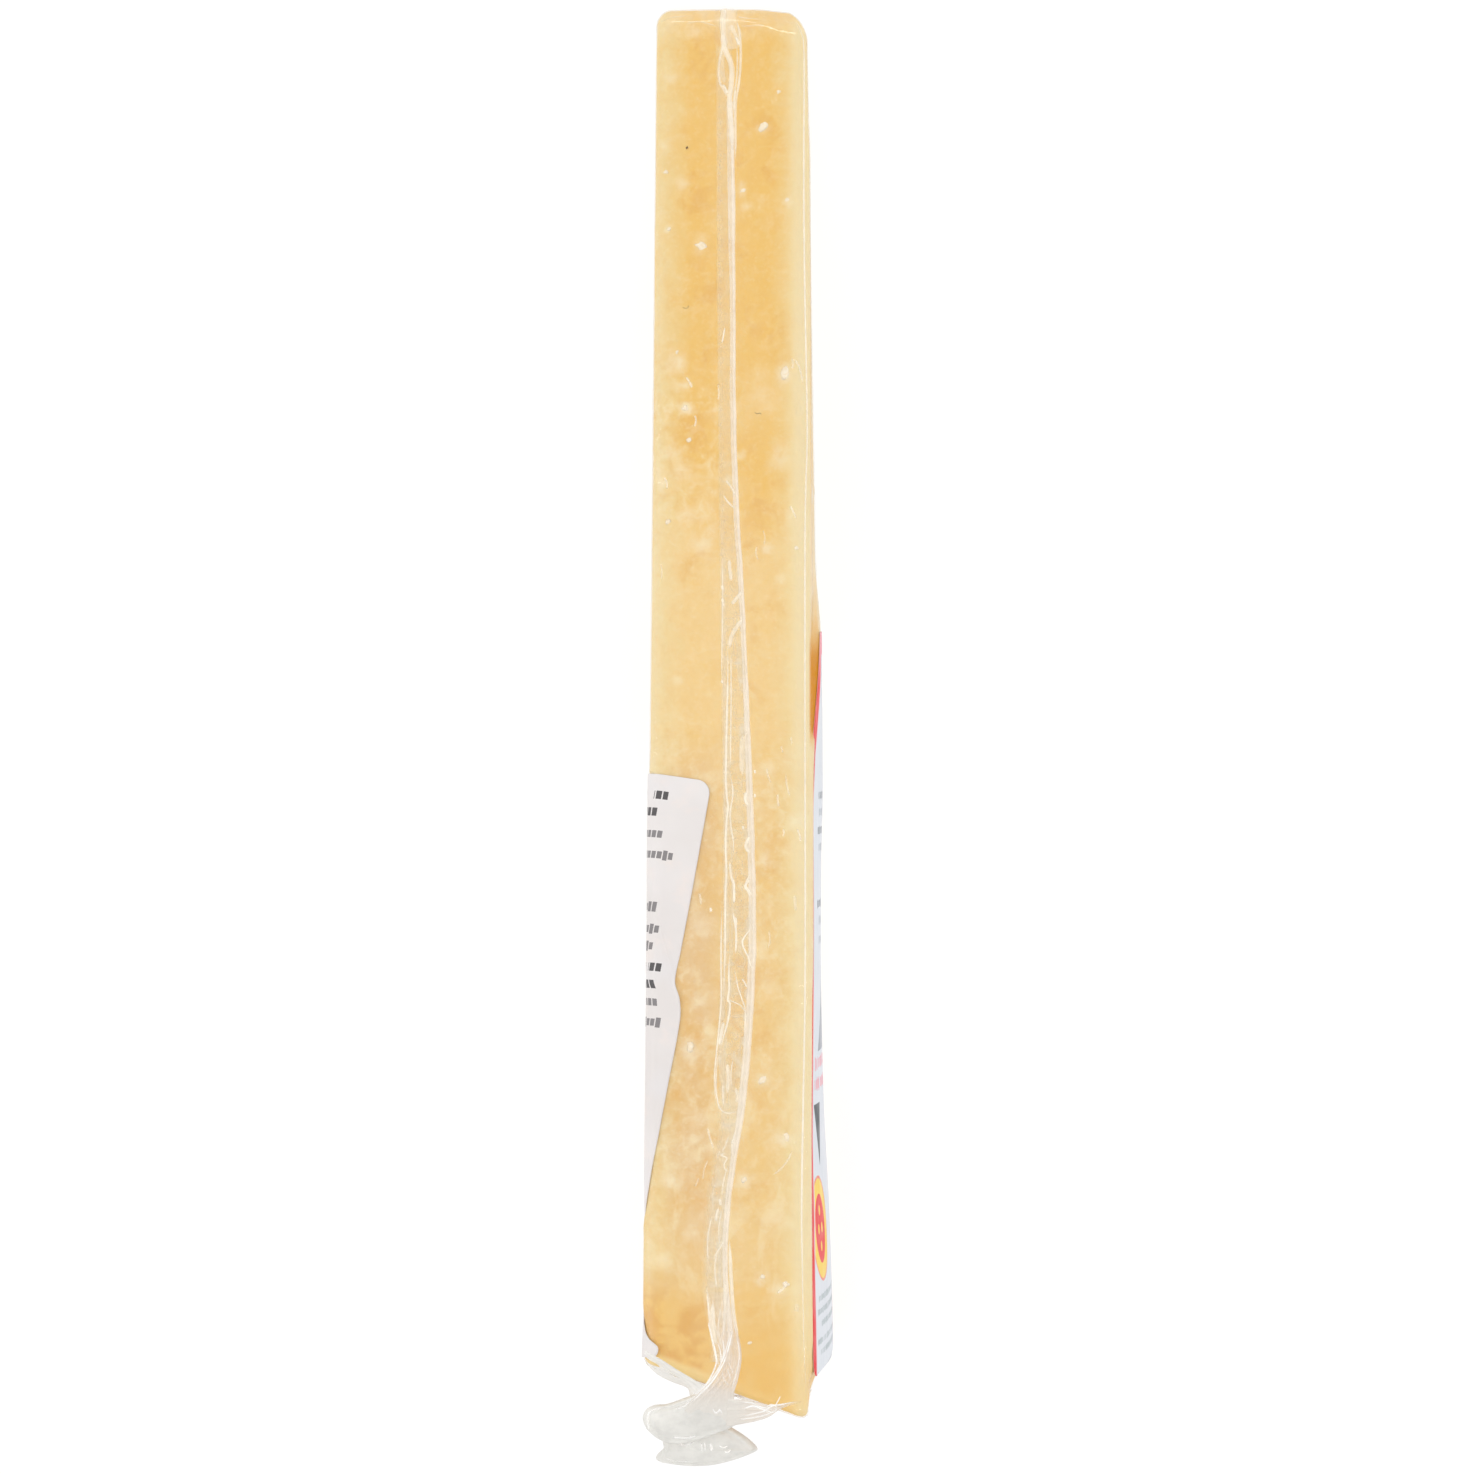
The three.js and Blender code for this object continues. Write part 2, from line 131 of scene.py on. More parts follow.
# ------------------------------------------------------------------ repeatable noise
def lattice(i, j, k, seed):
    h = (i * 374761393 + j * 668265263 + k * 1274126177 + seed * 974634777) & 0xFFFFFFFF
    h = ((h ^ (h >> 13)) * 1103515245) & 0xFFFFFFFF
    h = ((h ^ (h >> 16)) * 2246822519) & 0xFFFFFFFF
    return ((h ^ (h >> 15)) & 0xFFFFFF) / float(0x7FFFFF) - 1.0


def noise(p, size, seed=0):
    """Smooth noise in -1..1 over points p, with features about size across."""
    p = np.asarray(p, float) / np.asarray(size, float) + 100.0
    i = np.floor(p).astype(np.int64)
    f = p - i
    f = f * f * f * (f * (f * 6 - 15) + 10)
    out = 0.0
    for a in (0, 1):
        for b in (0, 1):
            for c in (0, 1):
                wgt = np.where(a, f[..., 0], 1 - f[..., 0]) * np.where(b, f[..., 1], 1 - f[..., 1]) * np.where(c, f[..., 2], 1 - f[..., 2])
                out = out + wgt * lattice(i[..., 0] + a, i[..., 1] + b, i[..., 2] + c, seed)
    return out * 1.4


def fbm(p, size, seed=0, octaves=3):
    out, amp, total = 0.0, 1.0, 0.0
    size = np.asarray(size, float)
    for o in range(octaves):
        out = out + amp * noise(p, size, seed + 17 * o)
        total += amp
        amp, size = amp * 0.5, size * 0.5
    return out / total


def curve(stations):
    """Smooth curve through stations (q, value), as in the solid model."""
    s = np.array(stations, float)

    def at(q):
        q = np.asarray(q, float)
        i = np.clip(np.searchsorted(s[:, 0], q, side="right") - 1, 0, len(s) - 2)
        i0, i3 = np.maximum(i - 1, 0), np.minimum(i + 2, len(s) - 1)
        q0, q1, q2, q3 = s[i0, 0], s[i, 0], s[i + 1, 0], s[i3, 0]
        v0, v1, v2, v3 = s[i0, 1], s[i, 1], s[i + 1, 1], s[i3, 1]
        m1, m2, d = (v2 - v0) / np.maximum(1e-6, q2 - q0), (v3 - v1) / np.maximum(1e-6, q3 - q1), q2 - q1
        t = np.clip((q - q1) / d, 0, 1)
        return (v1 * (2 * t**3 - 3 * t**2 + 1) + m1 * d * (t**3 - 2 * t**2 + t)
                + v2 * (-2 * t**3 + 3 * t**2) + m2 * d * (t**3 - t**2))

    return at


# ------------------------------------------------------------------ camera, in the wedge's coordinates
PSI, ROLL, CAM_D, PX_MM, CAM_X, CAM_Q = math.radians(3.47), math.radians(0.275), 1100.0, 7.0, 0.23, 120.8
to_cam = np.array([math.sin(PSI), 0, math.cos(PSI)])
_r, _u = np.array([math.cos(PSI), 0, -math.sin(PSI)]), np.array([0, -1.0, 0])
cam_right = _r * math.cos(ROLL) - _u * math.sin(ROLL)
cam_up = _u * math.cos(ROLL) + _r * math.sin(ROLL)
cam_at = np.array([CAM_X, CAM_Q, 0.0]) + to_cam * CAM_D


def seen(px, py, w):
    """The point at height w, in wedge coordinates, that is seen at a place of the 1474 px frame."""
    d = -to_cam * CAM_D + cam_right * (px - 737) / PX_MM - cam_up * (py - 737) / PX_MM
    return cam_at + d * (w - cam_at[2]) / d[2]


def seen_on_cut(px, py, off=0.0):
    """The same on the shown cut, pushed out by off."""
    d = -to_cam * CAM_D + cam_right * (px - 737) / PX_MM - cam_up * (py - 737) / PX_MM
    n = np.array([0, -SIN, COS])
    return cam_at + d * (off - cam_at @ n) / (d @ n)


cam_data = bpy.data.cameras.new("camera")
cam_data.lens = 36.0 * CAM_D * PX_MM / 1474.0
cam_data.sensor_width = 36.0
cam_data.clip_start, cam_data.clip_end = 0.05, 20.0
camera = bpy.data.objects.new("camera", cam_data)
bpy.context.scene.collection.objects.link(camera)
X, Y, Z = direction(cam_right), direction(cam_up), direction(to_cam)
camera.matrix_world = Matrix(((X.x, Y.x, Z.x, 0), (X.y, Y.y, Z.y, 0), (X.z, Y.z, Z.z, 0), (0, 0, 0, 1)))
camera.location = Vector(place(cam_at))
bpy.context.scene.camera = camera


# ------------------------------------------------------------------ meshes
def new_object(name, verts, faces, smooth_shade=True):
    me = bpy.data.meshes.new(name)
    me.from_pydata([tuple(map(float, v)) for v in verts], [], faces)
    me.update()
    ob = bpy.data.objects.new(name, me)
    bpy.context.scene.collection.objects.link(ob)
    if smooth_shade:
        me.polygons.foreach_set("use_smooth", np.ones(len(me.polygons), bool))
    return ob


def tidy(ob, dist=1e-6):
    """Merges doubled points and turns the faces outwards."""
    bm = bmesh.new()
    bm.from_mesh(ob.data)
    bmesh.ops.remove_doubles(bm, verts=bm.verts, dist=dist)
    bmesh.ops.dissolve_degenerate(bm, edges=bm.edges, dist=dist * 0.5)
    bmesh.ops.recalc_face_normals(bm, faces=bm.faces)
    bm.to_mesh(ob.data)
    bm.free()
    ob.data.polygons.foreach_set("use_smooth", np.ones(len(ob.data.polygons), bool))
    return ob


def coords(ob):
    co = np.zeros(len(ob.data.vertices) * 3)
    ob.data.vertices.foreach_get("co", co)
    return co.reshape(-1, 3)


def set_coords(ob, co):
    ob.data.vertices.foreach_set("co", np.asarray(co, float).ravel())
    ob.data.update()


def put_attr(ob, name, values):
    a = ob.data.attributes.new(name, "FLOAT", "POINT")
    a.data.foreach_set("value", np.asarray(values, np.float32).ravel())


def grid_faces(rows, cols, wrap=False, base=0, flip=False):
    out = []
    for k in range(rows - 1):
        for i in range(cols if wrap else cols - 1):
            a, b = base + k * cols + i, base + k * cols + (i + 1) % cols
            c, d = b + cols, a + cols
            out.append((a, d, c, b) if flip else (a, b, c, d))
    return out


def closed_sheet(name, top, bottom):
    """A thin closed body between two grids of points (rows, cols, 3), in wedge coordinates."""
    rows, cols = top.shape[:2]
    n = rows * cols
    verts = np.concatenate([place(top).reshape(-1, 3), place(bottom).reshape(-1, 3)])
    faces = grid_faces(rows, cols) + grid_faces(rows, cols, base=n, flip=True)
    for k in range(rows - 1):
        for i in (0, cols - 1):
            a, b = k * cols + i, (k + 1) * cols + i
            faces.append((a, b, b + n, a + n) if i == 0 else (b, a, a + n, b + n))
    for i in range(cols - 1):
        for k in (0, rows - 1):
            a, b = k * cols + i, k * cols + i + 1
            faces.append((b, a, a + n, b + n) if k == 0 else (a, b, b + n, a + n))
    return new_object(name, verts, faces)


def body_rings(nx, nw, step_q, off, caps):
    """Closed loops of points round the pack's surface, from the middle of the tip to the middle of the rind."""
    def ease(n):
        s = np.linspace(-1, 1, n + 1)
        return 0.55 * s + 0.45 * np.sin(s * math.pi / 2)

    sx, sw = ease(nx), ease(nw)
    u = np.concatenate([sx[:-1], np.ones(nw), -sx[:-1], -np.ones(nw)])
    v = np.concatenate([-np.ones(nx), sw[:-1], np.ones(nx), -sw[:-1]])
    rings = []
    near_tip, near_rind = Q_TIP + 6.5, WHEEL_R - 19
    o_tip, o_rind = np.array([0, near_tip, 0.0]), np.array([0, near_rind, 0.0])

    def tip(q, k):
        a, h = half_slab(q), q * TAN
        inset = k * h
        rings.append(cast(o_tip, np.stack([u * (a - inset), np.full(u.shape, q), v * (h - inset)], -1), off))

    for k in 1 - np.linspace(0, 1, caps // 2 + 1)[:-1] ** 0.8:
        tip(Q_TIP, k)
    for s in np.linspace(0, 1, 22)[:-1] ** 1.35 * 6.5:
        tip(Q_TIP + s, 0)
    n = int((near_rind - near_tip) / step_q)
    for q in np.linspace(near_tip, near_rind, n):
        a, h = half_slab(q), q * TAN
        rings.append(cast(np.array([0, q, 0.0]), np.stack([u * a, np.full(u.shape, q), v * h], -1), off))

    def rind(t, inset):
        a, h = half_slab(WHEEL_R), WHEEL_R * TAN
        x = u * (a - inset)
        w = v * WHEEL_R * SIN
        q = lerp(near_rind, rind_radius(x, w) * COS, t)
        w = v * q * TAN * (h - inset) / h
        if inset > 0:
            q = np.sqrt(rind_radius(x, w) ** 2 - w**2)
        rings.append(cast(o_rind, np.stack([x, q, w], -1), off))

    for t in 1 - np.linspace(1, 0, int(19 / step_q)) [1:] ** 1.25:
        rind(t, 0)
    for inset in (np.linspace(0, 1, caps + 1)[1:] ** 1.5) * (SLAB_RIND / 2 - 0.004):
        rind(1, inset)
    return np.array(rings)


def body_mesh(name, nx, nw, step_q, off, caps):
    rings = body_rings(nx, nw, step_q, off, caps)
    k, n = rings.shape[:2]
    faces = grid_faces(k, n, wrap=True)
    verts = place(rings).reshape(-1, 3)
    # close both ends: the last loop has run into a line, so its two long sides meet
    def close(base, flip):
        for i in range(nx):
            a, b = i, i + 1
            c, d = (2 * nx + nw - (i + 1)) % n, (2 * nx + nw - i) % n
            quad = (base + a, base + b, base + c, base + d)
            faces.append(quad[::-1] if flip else quad)
    close(0, True)
    last = (k - 1) * n
    for i in range(nw):
        a, b = nx + i, nx + i + 1
        c, d = (2 * nx + 2 * nw - (i + 1)) % n, (2 * nx + 2 * nw - i) % n
        faces.append((last + a, last + b, last + c, last + d))
    ob = new_object(name, verts, faces)
    return tidy(ob, 4e-6)


# ------------------------------------------------------------------ shader graphs
def lin(r, g, b, a=1.0):
    def f(c):
        c /= 255.0
        return c / 12.92 if c <= 0.04045 else ((c + 0.055) / 1.055) ** 2.4
    return (f(r), f(g), f(b), a)


class Graph:
    def __init__(self, name):
        self.mat = bpy.data.materials.new(name)
        self.mat.use_nodes = True
        self.t = self.mat.node_tree
        self.t.nodes.clear()
        self.out = self.t.nodes.new("ShaderNodeOutputMaterial")
        self._obj = None

    def node(self, kind, **props):
        n = self.t.nodes.new(kind)
        for k, v in props.items():
            setattr(n, k, v)
        return n

    def put(self, socket, value):
        if isinstance(value, bpy.types.NodeSocket):
            self.t.links.new(value, socket)
        elif value is not None:
            socket.default_value = value

    def obj(self):
        if self._obj is None:
            self._obj = self.node("ShaderNodeTexCoord").outputs["Object"]
        return self._obj

    def attr(self, name):
        return self.node("ShaderNodeAttribute", attribute_name=name).outputs["Fac"]

    def math(self, op, a, b=None, c=None, clamp=False):
        n = self.node("ShaderNodeMath", operation=op, use_clamp=clamp)
        for s, v in zip(n.inputs, (a, b, c)):
            self.put(s, v)
        return n.outputs[0]

    def noise(self, scale, detail=3.0, rough=0.5, vec=None, distortion=0.0, out="Fac", dim="3D", w=None, lac=2.0):
        n = self.node("ShaderNodeTexNoise", noise_dimensions=dim)
        if dim != "1D":
            self.put(n.inputs["Vector"], vec if vec is not None else self.obj())
        if w is not None:
            self.put(n.inputs["W"], w)
        n.inputs["Scale"].default_value = scale
        n.inputs["Detail"].default_value = detail
        n.inputs["Roughness"].default_value = rough
        n.inputs["Lacunarity"].default_value = lac
        n.inputs["Distortion"].default_value = distortion
        return n.outputs[out]

    def voronoi(self, scale, vec=None, feature="F1", rand=1.0):
        n = self.node("ShaderNodeTexVoronoi", feature=feature)
        self.put(n.inputs["Vector"], vec if vec is not None else self.obj())
        n.inputs["Scale"].default_value = scale
        n.inputs["Randomness"].default_value = rand
        return n.outputs["Distance"]

    def stretch(self, sx, sy, sz, vec=None):
        n = self.node("ShaderNodeMapping")
        self.put(n.inputs["Vector"], vec if vec is not None else self.obj())
        n.inputs["Scale"].default_value = (sx, sy, sz)
        return n.outputs[0]

    def map(self, v, lo, hi, a=0.0, b=1.0, kind="SMOOTHSTEP"):
        n = self.node("ShaderNodeMapRange", interpolation_type=kind, clamp=True)
        for s, x in zip(n.inputs, (v, lo, hi, a, b)):
            self.put(s, x)
        return n.outputs[0]

    def mix(self, fac, a, b, blend="MIX"):
        n = self.node("ShaderNodeMix", data_type="RGBA", blend_type=blend, clamp_factor=True)
        self.put(n.inputs[0], fac)
        self.put(n.inputs[6], a)
        self.put(n.inputs[7], b)
        return n.outputs[2]

    def bump(self, height, strength, distance, normal=None):
        n = self.node("ShaderNodeBump")
        self.put(n.inputs["Height"], height)
        n.inputs["Strength"].default_value = strength
        n.inputs["Distance"].default_value = distance
        self.put(n.inputs["Normal"], normal)
        return n.outputs[0]

    def principled(self, **kw):
        n = self.node("ShaderNodeBsdfPrincipled")
        for k, v in kw.items():
            self.put(n.inputs[k.replace("_", " ")], v)
        return n

    def mix_shader(self, fac, a, b):
        n = self.node("ShaderNodeMixShader")
        self.put(n.inputs[0], fac)
        self.put(n.inputs[1], a)
        self.put(n.inputs[2], b)
        return n.outputs[0]

    def end(self, shader):
        self.put(self.out.inputs["Surface"], shader)
        return self.mat


def cheese_material():
    g = Graph("cheese")
    along, edge, rind, pale_lumps, grain = g.attr("along"), g.attr("edge"), g.attr("rind"), g.attr("pale_lumps"), g.attr("grain")
    golden, pale, mellow, deep = lin(237, 191, 101), lin(240, 204, 137), lin(236, 200, 134), lin(227, 170, 80)
    painted_edge_light, cream, toast, crust = lin(236, 215, 161), lin(249, 234, 196), lin(229, 172, 84), lin(180, 124, 56)
    place_x = g.node("ShaderNodeSeparateXYZ")
    g.put(place_x.inputs[0], g.obj())
    left = g.map(place_x.outputs[0], 0.001, -0.004)
    broad = g.noise(95, 2.0, 0.5)
    blotch = g.noise(240, 3.0, 0.55, distortion=0.6)
    clot = g.noise(430, 2.0, 0.5, distortion=0.8)
    fine = g.noise(900, 3.0, 0.6)
    dust = g.noise(2300, 2.0, 0.6)
    # deeper golden towards the tip, palest in the middle stretch, mellow where the curd is coarse
    tone = g.map(along, 78, 98)
    tone = g.math("ADD", tone, g.math("MULTIPLY", g.math("SUBTRACT", broad, 0.5), 2.2))
    tone = g.math("ADD", tone, g.math("MULTIPLY", g.math("SUBTRACT", blotch, 0.5), 1.6), clamp=True)
    col = g.mix(tone, golden, g.mix(g.map(along, 118, 134), pale, mellow))
    amber = g.math("MULTIPLY", g.math("MULTIPLY", left, g.map(along, 118, 132)), g.map(along, 205, 178))
    col = g.mix(g.math("MULTIPLY", amber, 0.46), col, lin(219, 169, 100))
    col = g.mix(g.math("MULTIPLY", amber, g.map(g.noise(150, 2.0, 0.5), 0.45, 0.62, 0.10, 0.45)), col, lin(230, 200, 158))
    dark = g.math("MULTIPLY", g.map(blotch, 0.50, 0.66), g.map(broad, 0.56, 0.40))
    col = g.mix(g.math("MULTIPLY", dark, g.map(edge, 2.0, 6.0, 0.15, 0.50)), col, deep)
    # the straw-coloured, more see-through margins: painted light, standing for light scattered in through the sides
    # near the edges
    band = g.math("ADD", edge, g.math("MULTIPLY", g.math("SUBTRACT", blotch, 0.5), 5.0))
    col = g.mix(g.map(band, 0.2, 5.2, 0.85, 0.0, kind="LINEAR"), col, painted_edge_light)
    # paler still along the right edge: painted light, standing for light scattered in through the right side
    right = g.map(place_x.outputs[0], 0.006, 0.008)
    col = g.mix(g.math("MULTIPLY", right, g.map(edge, 2.6, 0.9, 0.0, 0.55)), col, lin(238, 223, 190))
    # cloudy pale blobs, coarse curd grains and dust
    cloud = g.math("MULTIPLY", g.map(g.voronoi(230), 0.30, 0.06), g.map(g.noise(120, 2.0, 0.5), 0.50, 0.62))
    col = g.mix(g.math("MULTIPLY", cloud, 0.45), col, cream)
    puffs = g.math("MULTIPLY", g.attr("puff"), g.map(clot, 0.30, 0.60, 0.55, 1.0))
    col = g.mix(puffs, col, lin(249, 238, 210))
    wisp = g.math("MULTIPLY", g.map(g.noise(170, 4.0, 0.6, vec=g.stretch(1.0, 0.45, 1.0), distortion=1.2), 0.53, 0.68), g.map(along, 112, 126))
    col = g.mix(g.math("MULTIPLY", wisp, 0.38), col, lin(245, 226, 180))
    patch = g.math("MULTIPLY", g.map(g.noise(120, 3.0, 0.55, distortion=0.8), 0.46, 0.34), g.map(along, 112, 126))
    col = g.mix(g.math("MULTIPLY", patch, 0.30), col, lin(229, 184, 108))
    col = g.mix(g.math("MULTIPLY", g.map(clot, 0.52, 0.74), g.math("ADD", 0.08, g.math("MULTIPLY", grain, 0.20))), col, cream)
    col = g.mix(g.math("MULTIPLY", g.map(clot, 0.48, 0.28), g.math("ADD", 0.05, g.math("MULTIPLY", grain, 0.16))), col, deep)
    col = g.mix(g.math("MULTIPLY", g.map(fine, 0.50, 0.70), g.math("ADD", 0.08, g.math("MULTIPLY", grain, 0.12))), col, cream)
    col = g.mix(g.math("MULTIPLY", g.map(fine, 0.48, 0.30), g.math("ADD", 0.06, g.math("MULTIPLY", grain, 0.10))), col, deep)
    col = g.mix(g.map(dust, 0.56, 0.72, 0.0, 0.12), col, cream)
    # paler on the lumps and pits of the granular patches
    col = g.mix(g.math("MULTIPLY", pale_lumps, 0.25), col, lin(250, 232, 188))
    # drier and darker towards the rind, a paler rim that is a painted highlight where the rounded rind edge catches the
    # light, strongest on the left, then the rind itself
    near = g.map(g.math("ADD", rind, g.math("MULTIPLY", g.math("SUBTRACT", broad, 0.5), 9.0)), 16.0, 5.0)
    col = g.mix(g.math("MULTIPLY", near, 0.85), col, g.mix(g.map(blotch, 0.4, 0.6), g.mix(left, lin(235, 187, 100), lin(224, 168, 85)), lin(236, 192, 110)))
    # painted highlight: paler where the rounded rind edge catches the light, most on the left
    col = g.mix(g.map(g.math("ADD", rind, g.math("MULTIPLY", g.math("SUBTRACT", blotch, 0.5), 1.5)), 2.0, 1.0, 0.0, g.math("ADD", 0.10, g.math("MULTIPLY", left, 0.60))), col, lin(241, 214, 150))
    # paler again close to the right edge: painted light scattered in through the right side
    col = g.mix(g.math("MULTIPLY", right, g.map(edge, 3.6, 0.9, 0.0, 0.62)), col, lin(240, 218, 164))
    skin_noise = g.noise(420, 4.0, 0.62)
    crust_col = g.mix(g.map(skin_noise, 0.40, 0.62), crust, lin(217, 164, 90))
    crust_col = g.mix(g.map(g.noise(75, 2.0, 0.5), 0.48, 0.62, 0.0, 0.5), crust_col, lin(150, 112, 54))
    col = g.mix(g.math("MULTIPLY", g.map(rind, 0.60, 0.25), g.map(g.attr("below"), 1.6, 5.0)), col, crust_col)
    # painted shade and glow: deep orange on the flat side in the front label's shade, standing for light glowing out
    # through the cheese's edge
    col = g.mix(g.attr("amber"), col, lin(220, 146, 8))
    height = g.math("ADD", g.math("MULTIPLY", g.noise(1500, 3.0, 0.6), 0.6), g.math("MULTIPLY", fine, 0.8))
    height = g.math("SUBTRACT", height, g.math("MULTIPLY", g.map(g.voronoi(700), 0.0, 0.28, 1.0, 0.0), 0.4))
    bump = g.bump(height, 0.4, 0.00022)
    rough = g.map(g.noise(260, 3.0, 0.5), 0.3, 0.7, 0.42, 0.62)
    p = g.principled(Base_Color=col, Roughness=rough, Normal=bump)
    p.inputs["IOR"].default_value = 1.45
    p.inputs["Specular IOR Level"].default_value = 0.3
    p.inputs["Subsurface Weight"].default_value = 0.12
    p.inputs["Subsurface Radius"].default_value = (1.0, 0.7, 0.35)
    p.inputs["Subsurface Scale"].default_value = 0.0016
    return g.end(p.outputs[0])


def crystal_material():
    g = Graph("crystal")
    n = g.noise(2600, 3.0, 0.6)
    col = g.mix(g.map(n, 0.35, 0.7), lin(244, 224, 190), lin(249, 236, 212))
    p = g.principled(Base_Color=col, Roughness=g.map(n, 0.3, 0.7, 0.55, 0.8), Normal=g.bump(n, 0.2, 0.0001))
    p.inputs["Specular IOR Level"].default_value = 0.15
    p.inputs["Subsurface Weight"].default_value = 0.0
    return g.end(p.outputs[0])


def film_material(name, milk_col, rough=0.08, bump=0.25, crinkle=0.0, milk_rough=0.3, ior=1.45, vary=0.2, base_shine=0.045, end_col=None, graze=0.35, dulled=False):
    """Clear glossy film, clouded where the milk attribute says so."""
    g = Graph(name)
    cloud = g.noise(700, 3.0, 0.55)
    milk = g.math("MULTIPLY", g.attr("milk"), g.map(cloud, 0.35, 0.65, 1.0 - vary, 1.0 + vary * 0.6), clamp=True)
    height = g.math("ADD", g.math("MULTIPLY", g.noise(1700, 2.0, 0.5), 0.25), g.noise(420, 3.0, 0.5))
    if crinkle:
        tight = g.math("SUBTRACT", 1.0, g.math("ABSOLUTE", g.math("MULTIPLY", g.math("SUBTRACT", g.noise(520, 2.0, 0.5, distortion=1.2), 0.5), 6.0)), clamp=True)
        height = g.math("ADD", height, g.math("MULTIPLY", g.math("MULTIPLY", g.math("POWER", tight, 2.0), g.attr("grain")), crinkle))
    nrm = g.bump(height, bump, 0.00018)
    clear = g.node("ShaderNodeBsdfTransparent")
    clear.inputs[0].default_value = (1, 1, 1, 1)
    tint = tuple(min(1.0, c * 1.05) for c in milk_col[:3]) + (1.0,)
    col = g.mix(g.map(cloud, 0.35, 0.65), milk_col, tint)
    if end_col:
        col = g.mix(g.attr("tone"), col, end_col)
    p = g.principled(Base_Color=col, Roughness=g.map(cloud, 0.3, 0.7, milk_rough, milk_rough + 0.15), Normal=nrm)
    p.inputs["IOR"].default_value = ior
    p.inputs["Subsurface Weight"].default_value = 0.0
    gloss = g.node("ShaderNodeBsdfGlossy")
    g.put(gloss.inputs["Normal"], nrm)
    gloss.inputs["Roughness"].default_value = rough
    facing = g.node("ShaderNodeLayerWeight")
    facing.inputs["Blend"].default_value = 0.5
    g.put(facing.inputs["Normal"], nrm)
    shine = g.math("ADD", g.math("MULTIPLY", g.math("POWER", facing.outputs["Facing"], 5.0), graze), base_shine)
    if dulled:
        shine = g.math("MULTIPLY", shine, g.math("SUBTRACT", 1.0, g.attr("dull")))
    sheet = g.mix_shader(shine, clear.outputs[0], gloss.outputs[0])
    return g.end(g.mix_shader(milk, sheet, p.outputs[0]))


# ------------------------------------------------------------------ the cheese
def clear(ob):
    """Thin clear film throws no shade on what it lies over."""
    ob.visible_shadow = False
    ob.visible_diffuse = False
    return ob


def ride(ob, slot, *stands_for):
    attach(ob, "root")
    if stands_for:
        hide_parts(*stands_for)
    return ob


def grain_zone(c):
    """Where the cut is coarse and granular: a patch on the left of the upper half, and most of the lower half."""
    x, q, w = c[..., 0], c[..., 1], c[..., 2]
    patch = np.exp(-(((q - 82) / 17) ** 2)) * (1 - smooth(-3.5, 1.5, x))
    lower = smooth(112, 132, q) * (1 - smooth(180, 194, q))
    ragged = smooth(-0.35, 0.35, fbm(c, (6, 12, 6), 3, 2))
    return np.clip(np.maximum(patch, lower) * (0.35 + 0.65 * ragged) + 0.12, 0, 1)


def front_lift(q, t):
    """How far the front label stands off its flat side; t runs from its far long edge (0) to its near one (1)."""
    n = curve([[95, 0.6], [104, 0.98], [107, 1.04], [114, 0.88], [121, 0.78], [130, 0.57], [150, 0.56], [171, 0.30], [182, 0.24], [192, 0.34], [203, 0.52], [211, 0.66]])(q)
    m = curve([[95, 0.6], [104, 0.93], [107, 1.08], [114, 1.06], [121, 0.90], [130, 0.74], [138, 0.66], [151, 0.60], [158, 0.60], [172, 0.75], [182, 0.95], [192, 1.20], [203, 1.50], [211, 1.55]])(q)
    f = curve([[95, 0.6], [104, 0.71], [114, 0.63], [121, 0.58], [130, 0.43], [138, 0.12], [151, -0.2], [158, -0.3], [172.6, -0.22], [187, 0.36], [201, 0.64], [211, 0.70]])(q)
    return n * t * (2 * t - 1) + 4 * m * t * (1 - t) + f * (1 - t) * (1 - 2 * t)


def front_near(q):
    return q * TAN - 3.2


def front_far(q):
    return -q * TAN + 2.8


def slant(q):
    """The front label's short slanted side, near its upper end."""
    return -1.5 + (q - 106.2) * 1.09


def swell(c):
    """The flat side follows the front label, so that no gap is left below it."""
    x, q, w = c[..., 0], c[..., 1], c[..., 2]
    near, far = front_near(q), front_far(q)
    t = np.clip((w - far) / np.maximum(near - far, 1e-6), 0, 1)
    near = np.where(q < 122, np.minimum(near, slant(q)), near)
    rise = front_lift(q, t) - 0.12 + 0.19 * np.exp(-(((w - near - 0.2) / 0.45) ** 2)) * smooth(104, 107, q) * (1 - smooth(150, 160, q))
    rise = np.where(rise > 0, rise * smooth(-1.6, 0.9, w - far + np.where(q < 108, 3.0, 0.0)), rise)
    ends = smooth(95, 108, q) * (1 - smooth(208.5, 211.0, q)) * smooth(0.6, 0.9, x / half_slab(q))
    return rise * smooth(-1.9, 0.2, near - w) * ends


def lean(c):
    """The +X flat side leans out a little towards the shown cut."""
    x, q, w = c[..., 0], c[..., 1], c[..., 2]
    up = w / np.maximum(q * TAN, 1e-6)
    out = 0.50 * smooth(-0.2, 0.7, up) * smooth(0.80, 0.99, x / half_slab(q)) * smooth(24, 40, q) * (1 - smooth(204, 211, q))
    return np.stack([out, 0 * out, 0 * out], -1)


def shoulder(c):
    """The -X flat side bulges over the back label's edge where the label dips out of sight."""
    x, q, w = c[..., 0], c[..., 1], c[..., 2]
    out = -0.34 * smooth(0.72, 0.97, -x / half_slab(q)) * smooth(-4.0, -1.2, w * COS - q * SIN) * smooth(186.0, 189.5, q) * (1 - smooth(199.5, 203.5, q))
    return np.stack([out, 0 * out, 0 * out], -1)


BACK_TOP, BACK_FOOT, BACK_FAR, BACK_CORNER = 125.9, 207.0, -13.0, 2.0
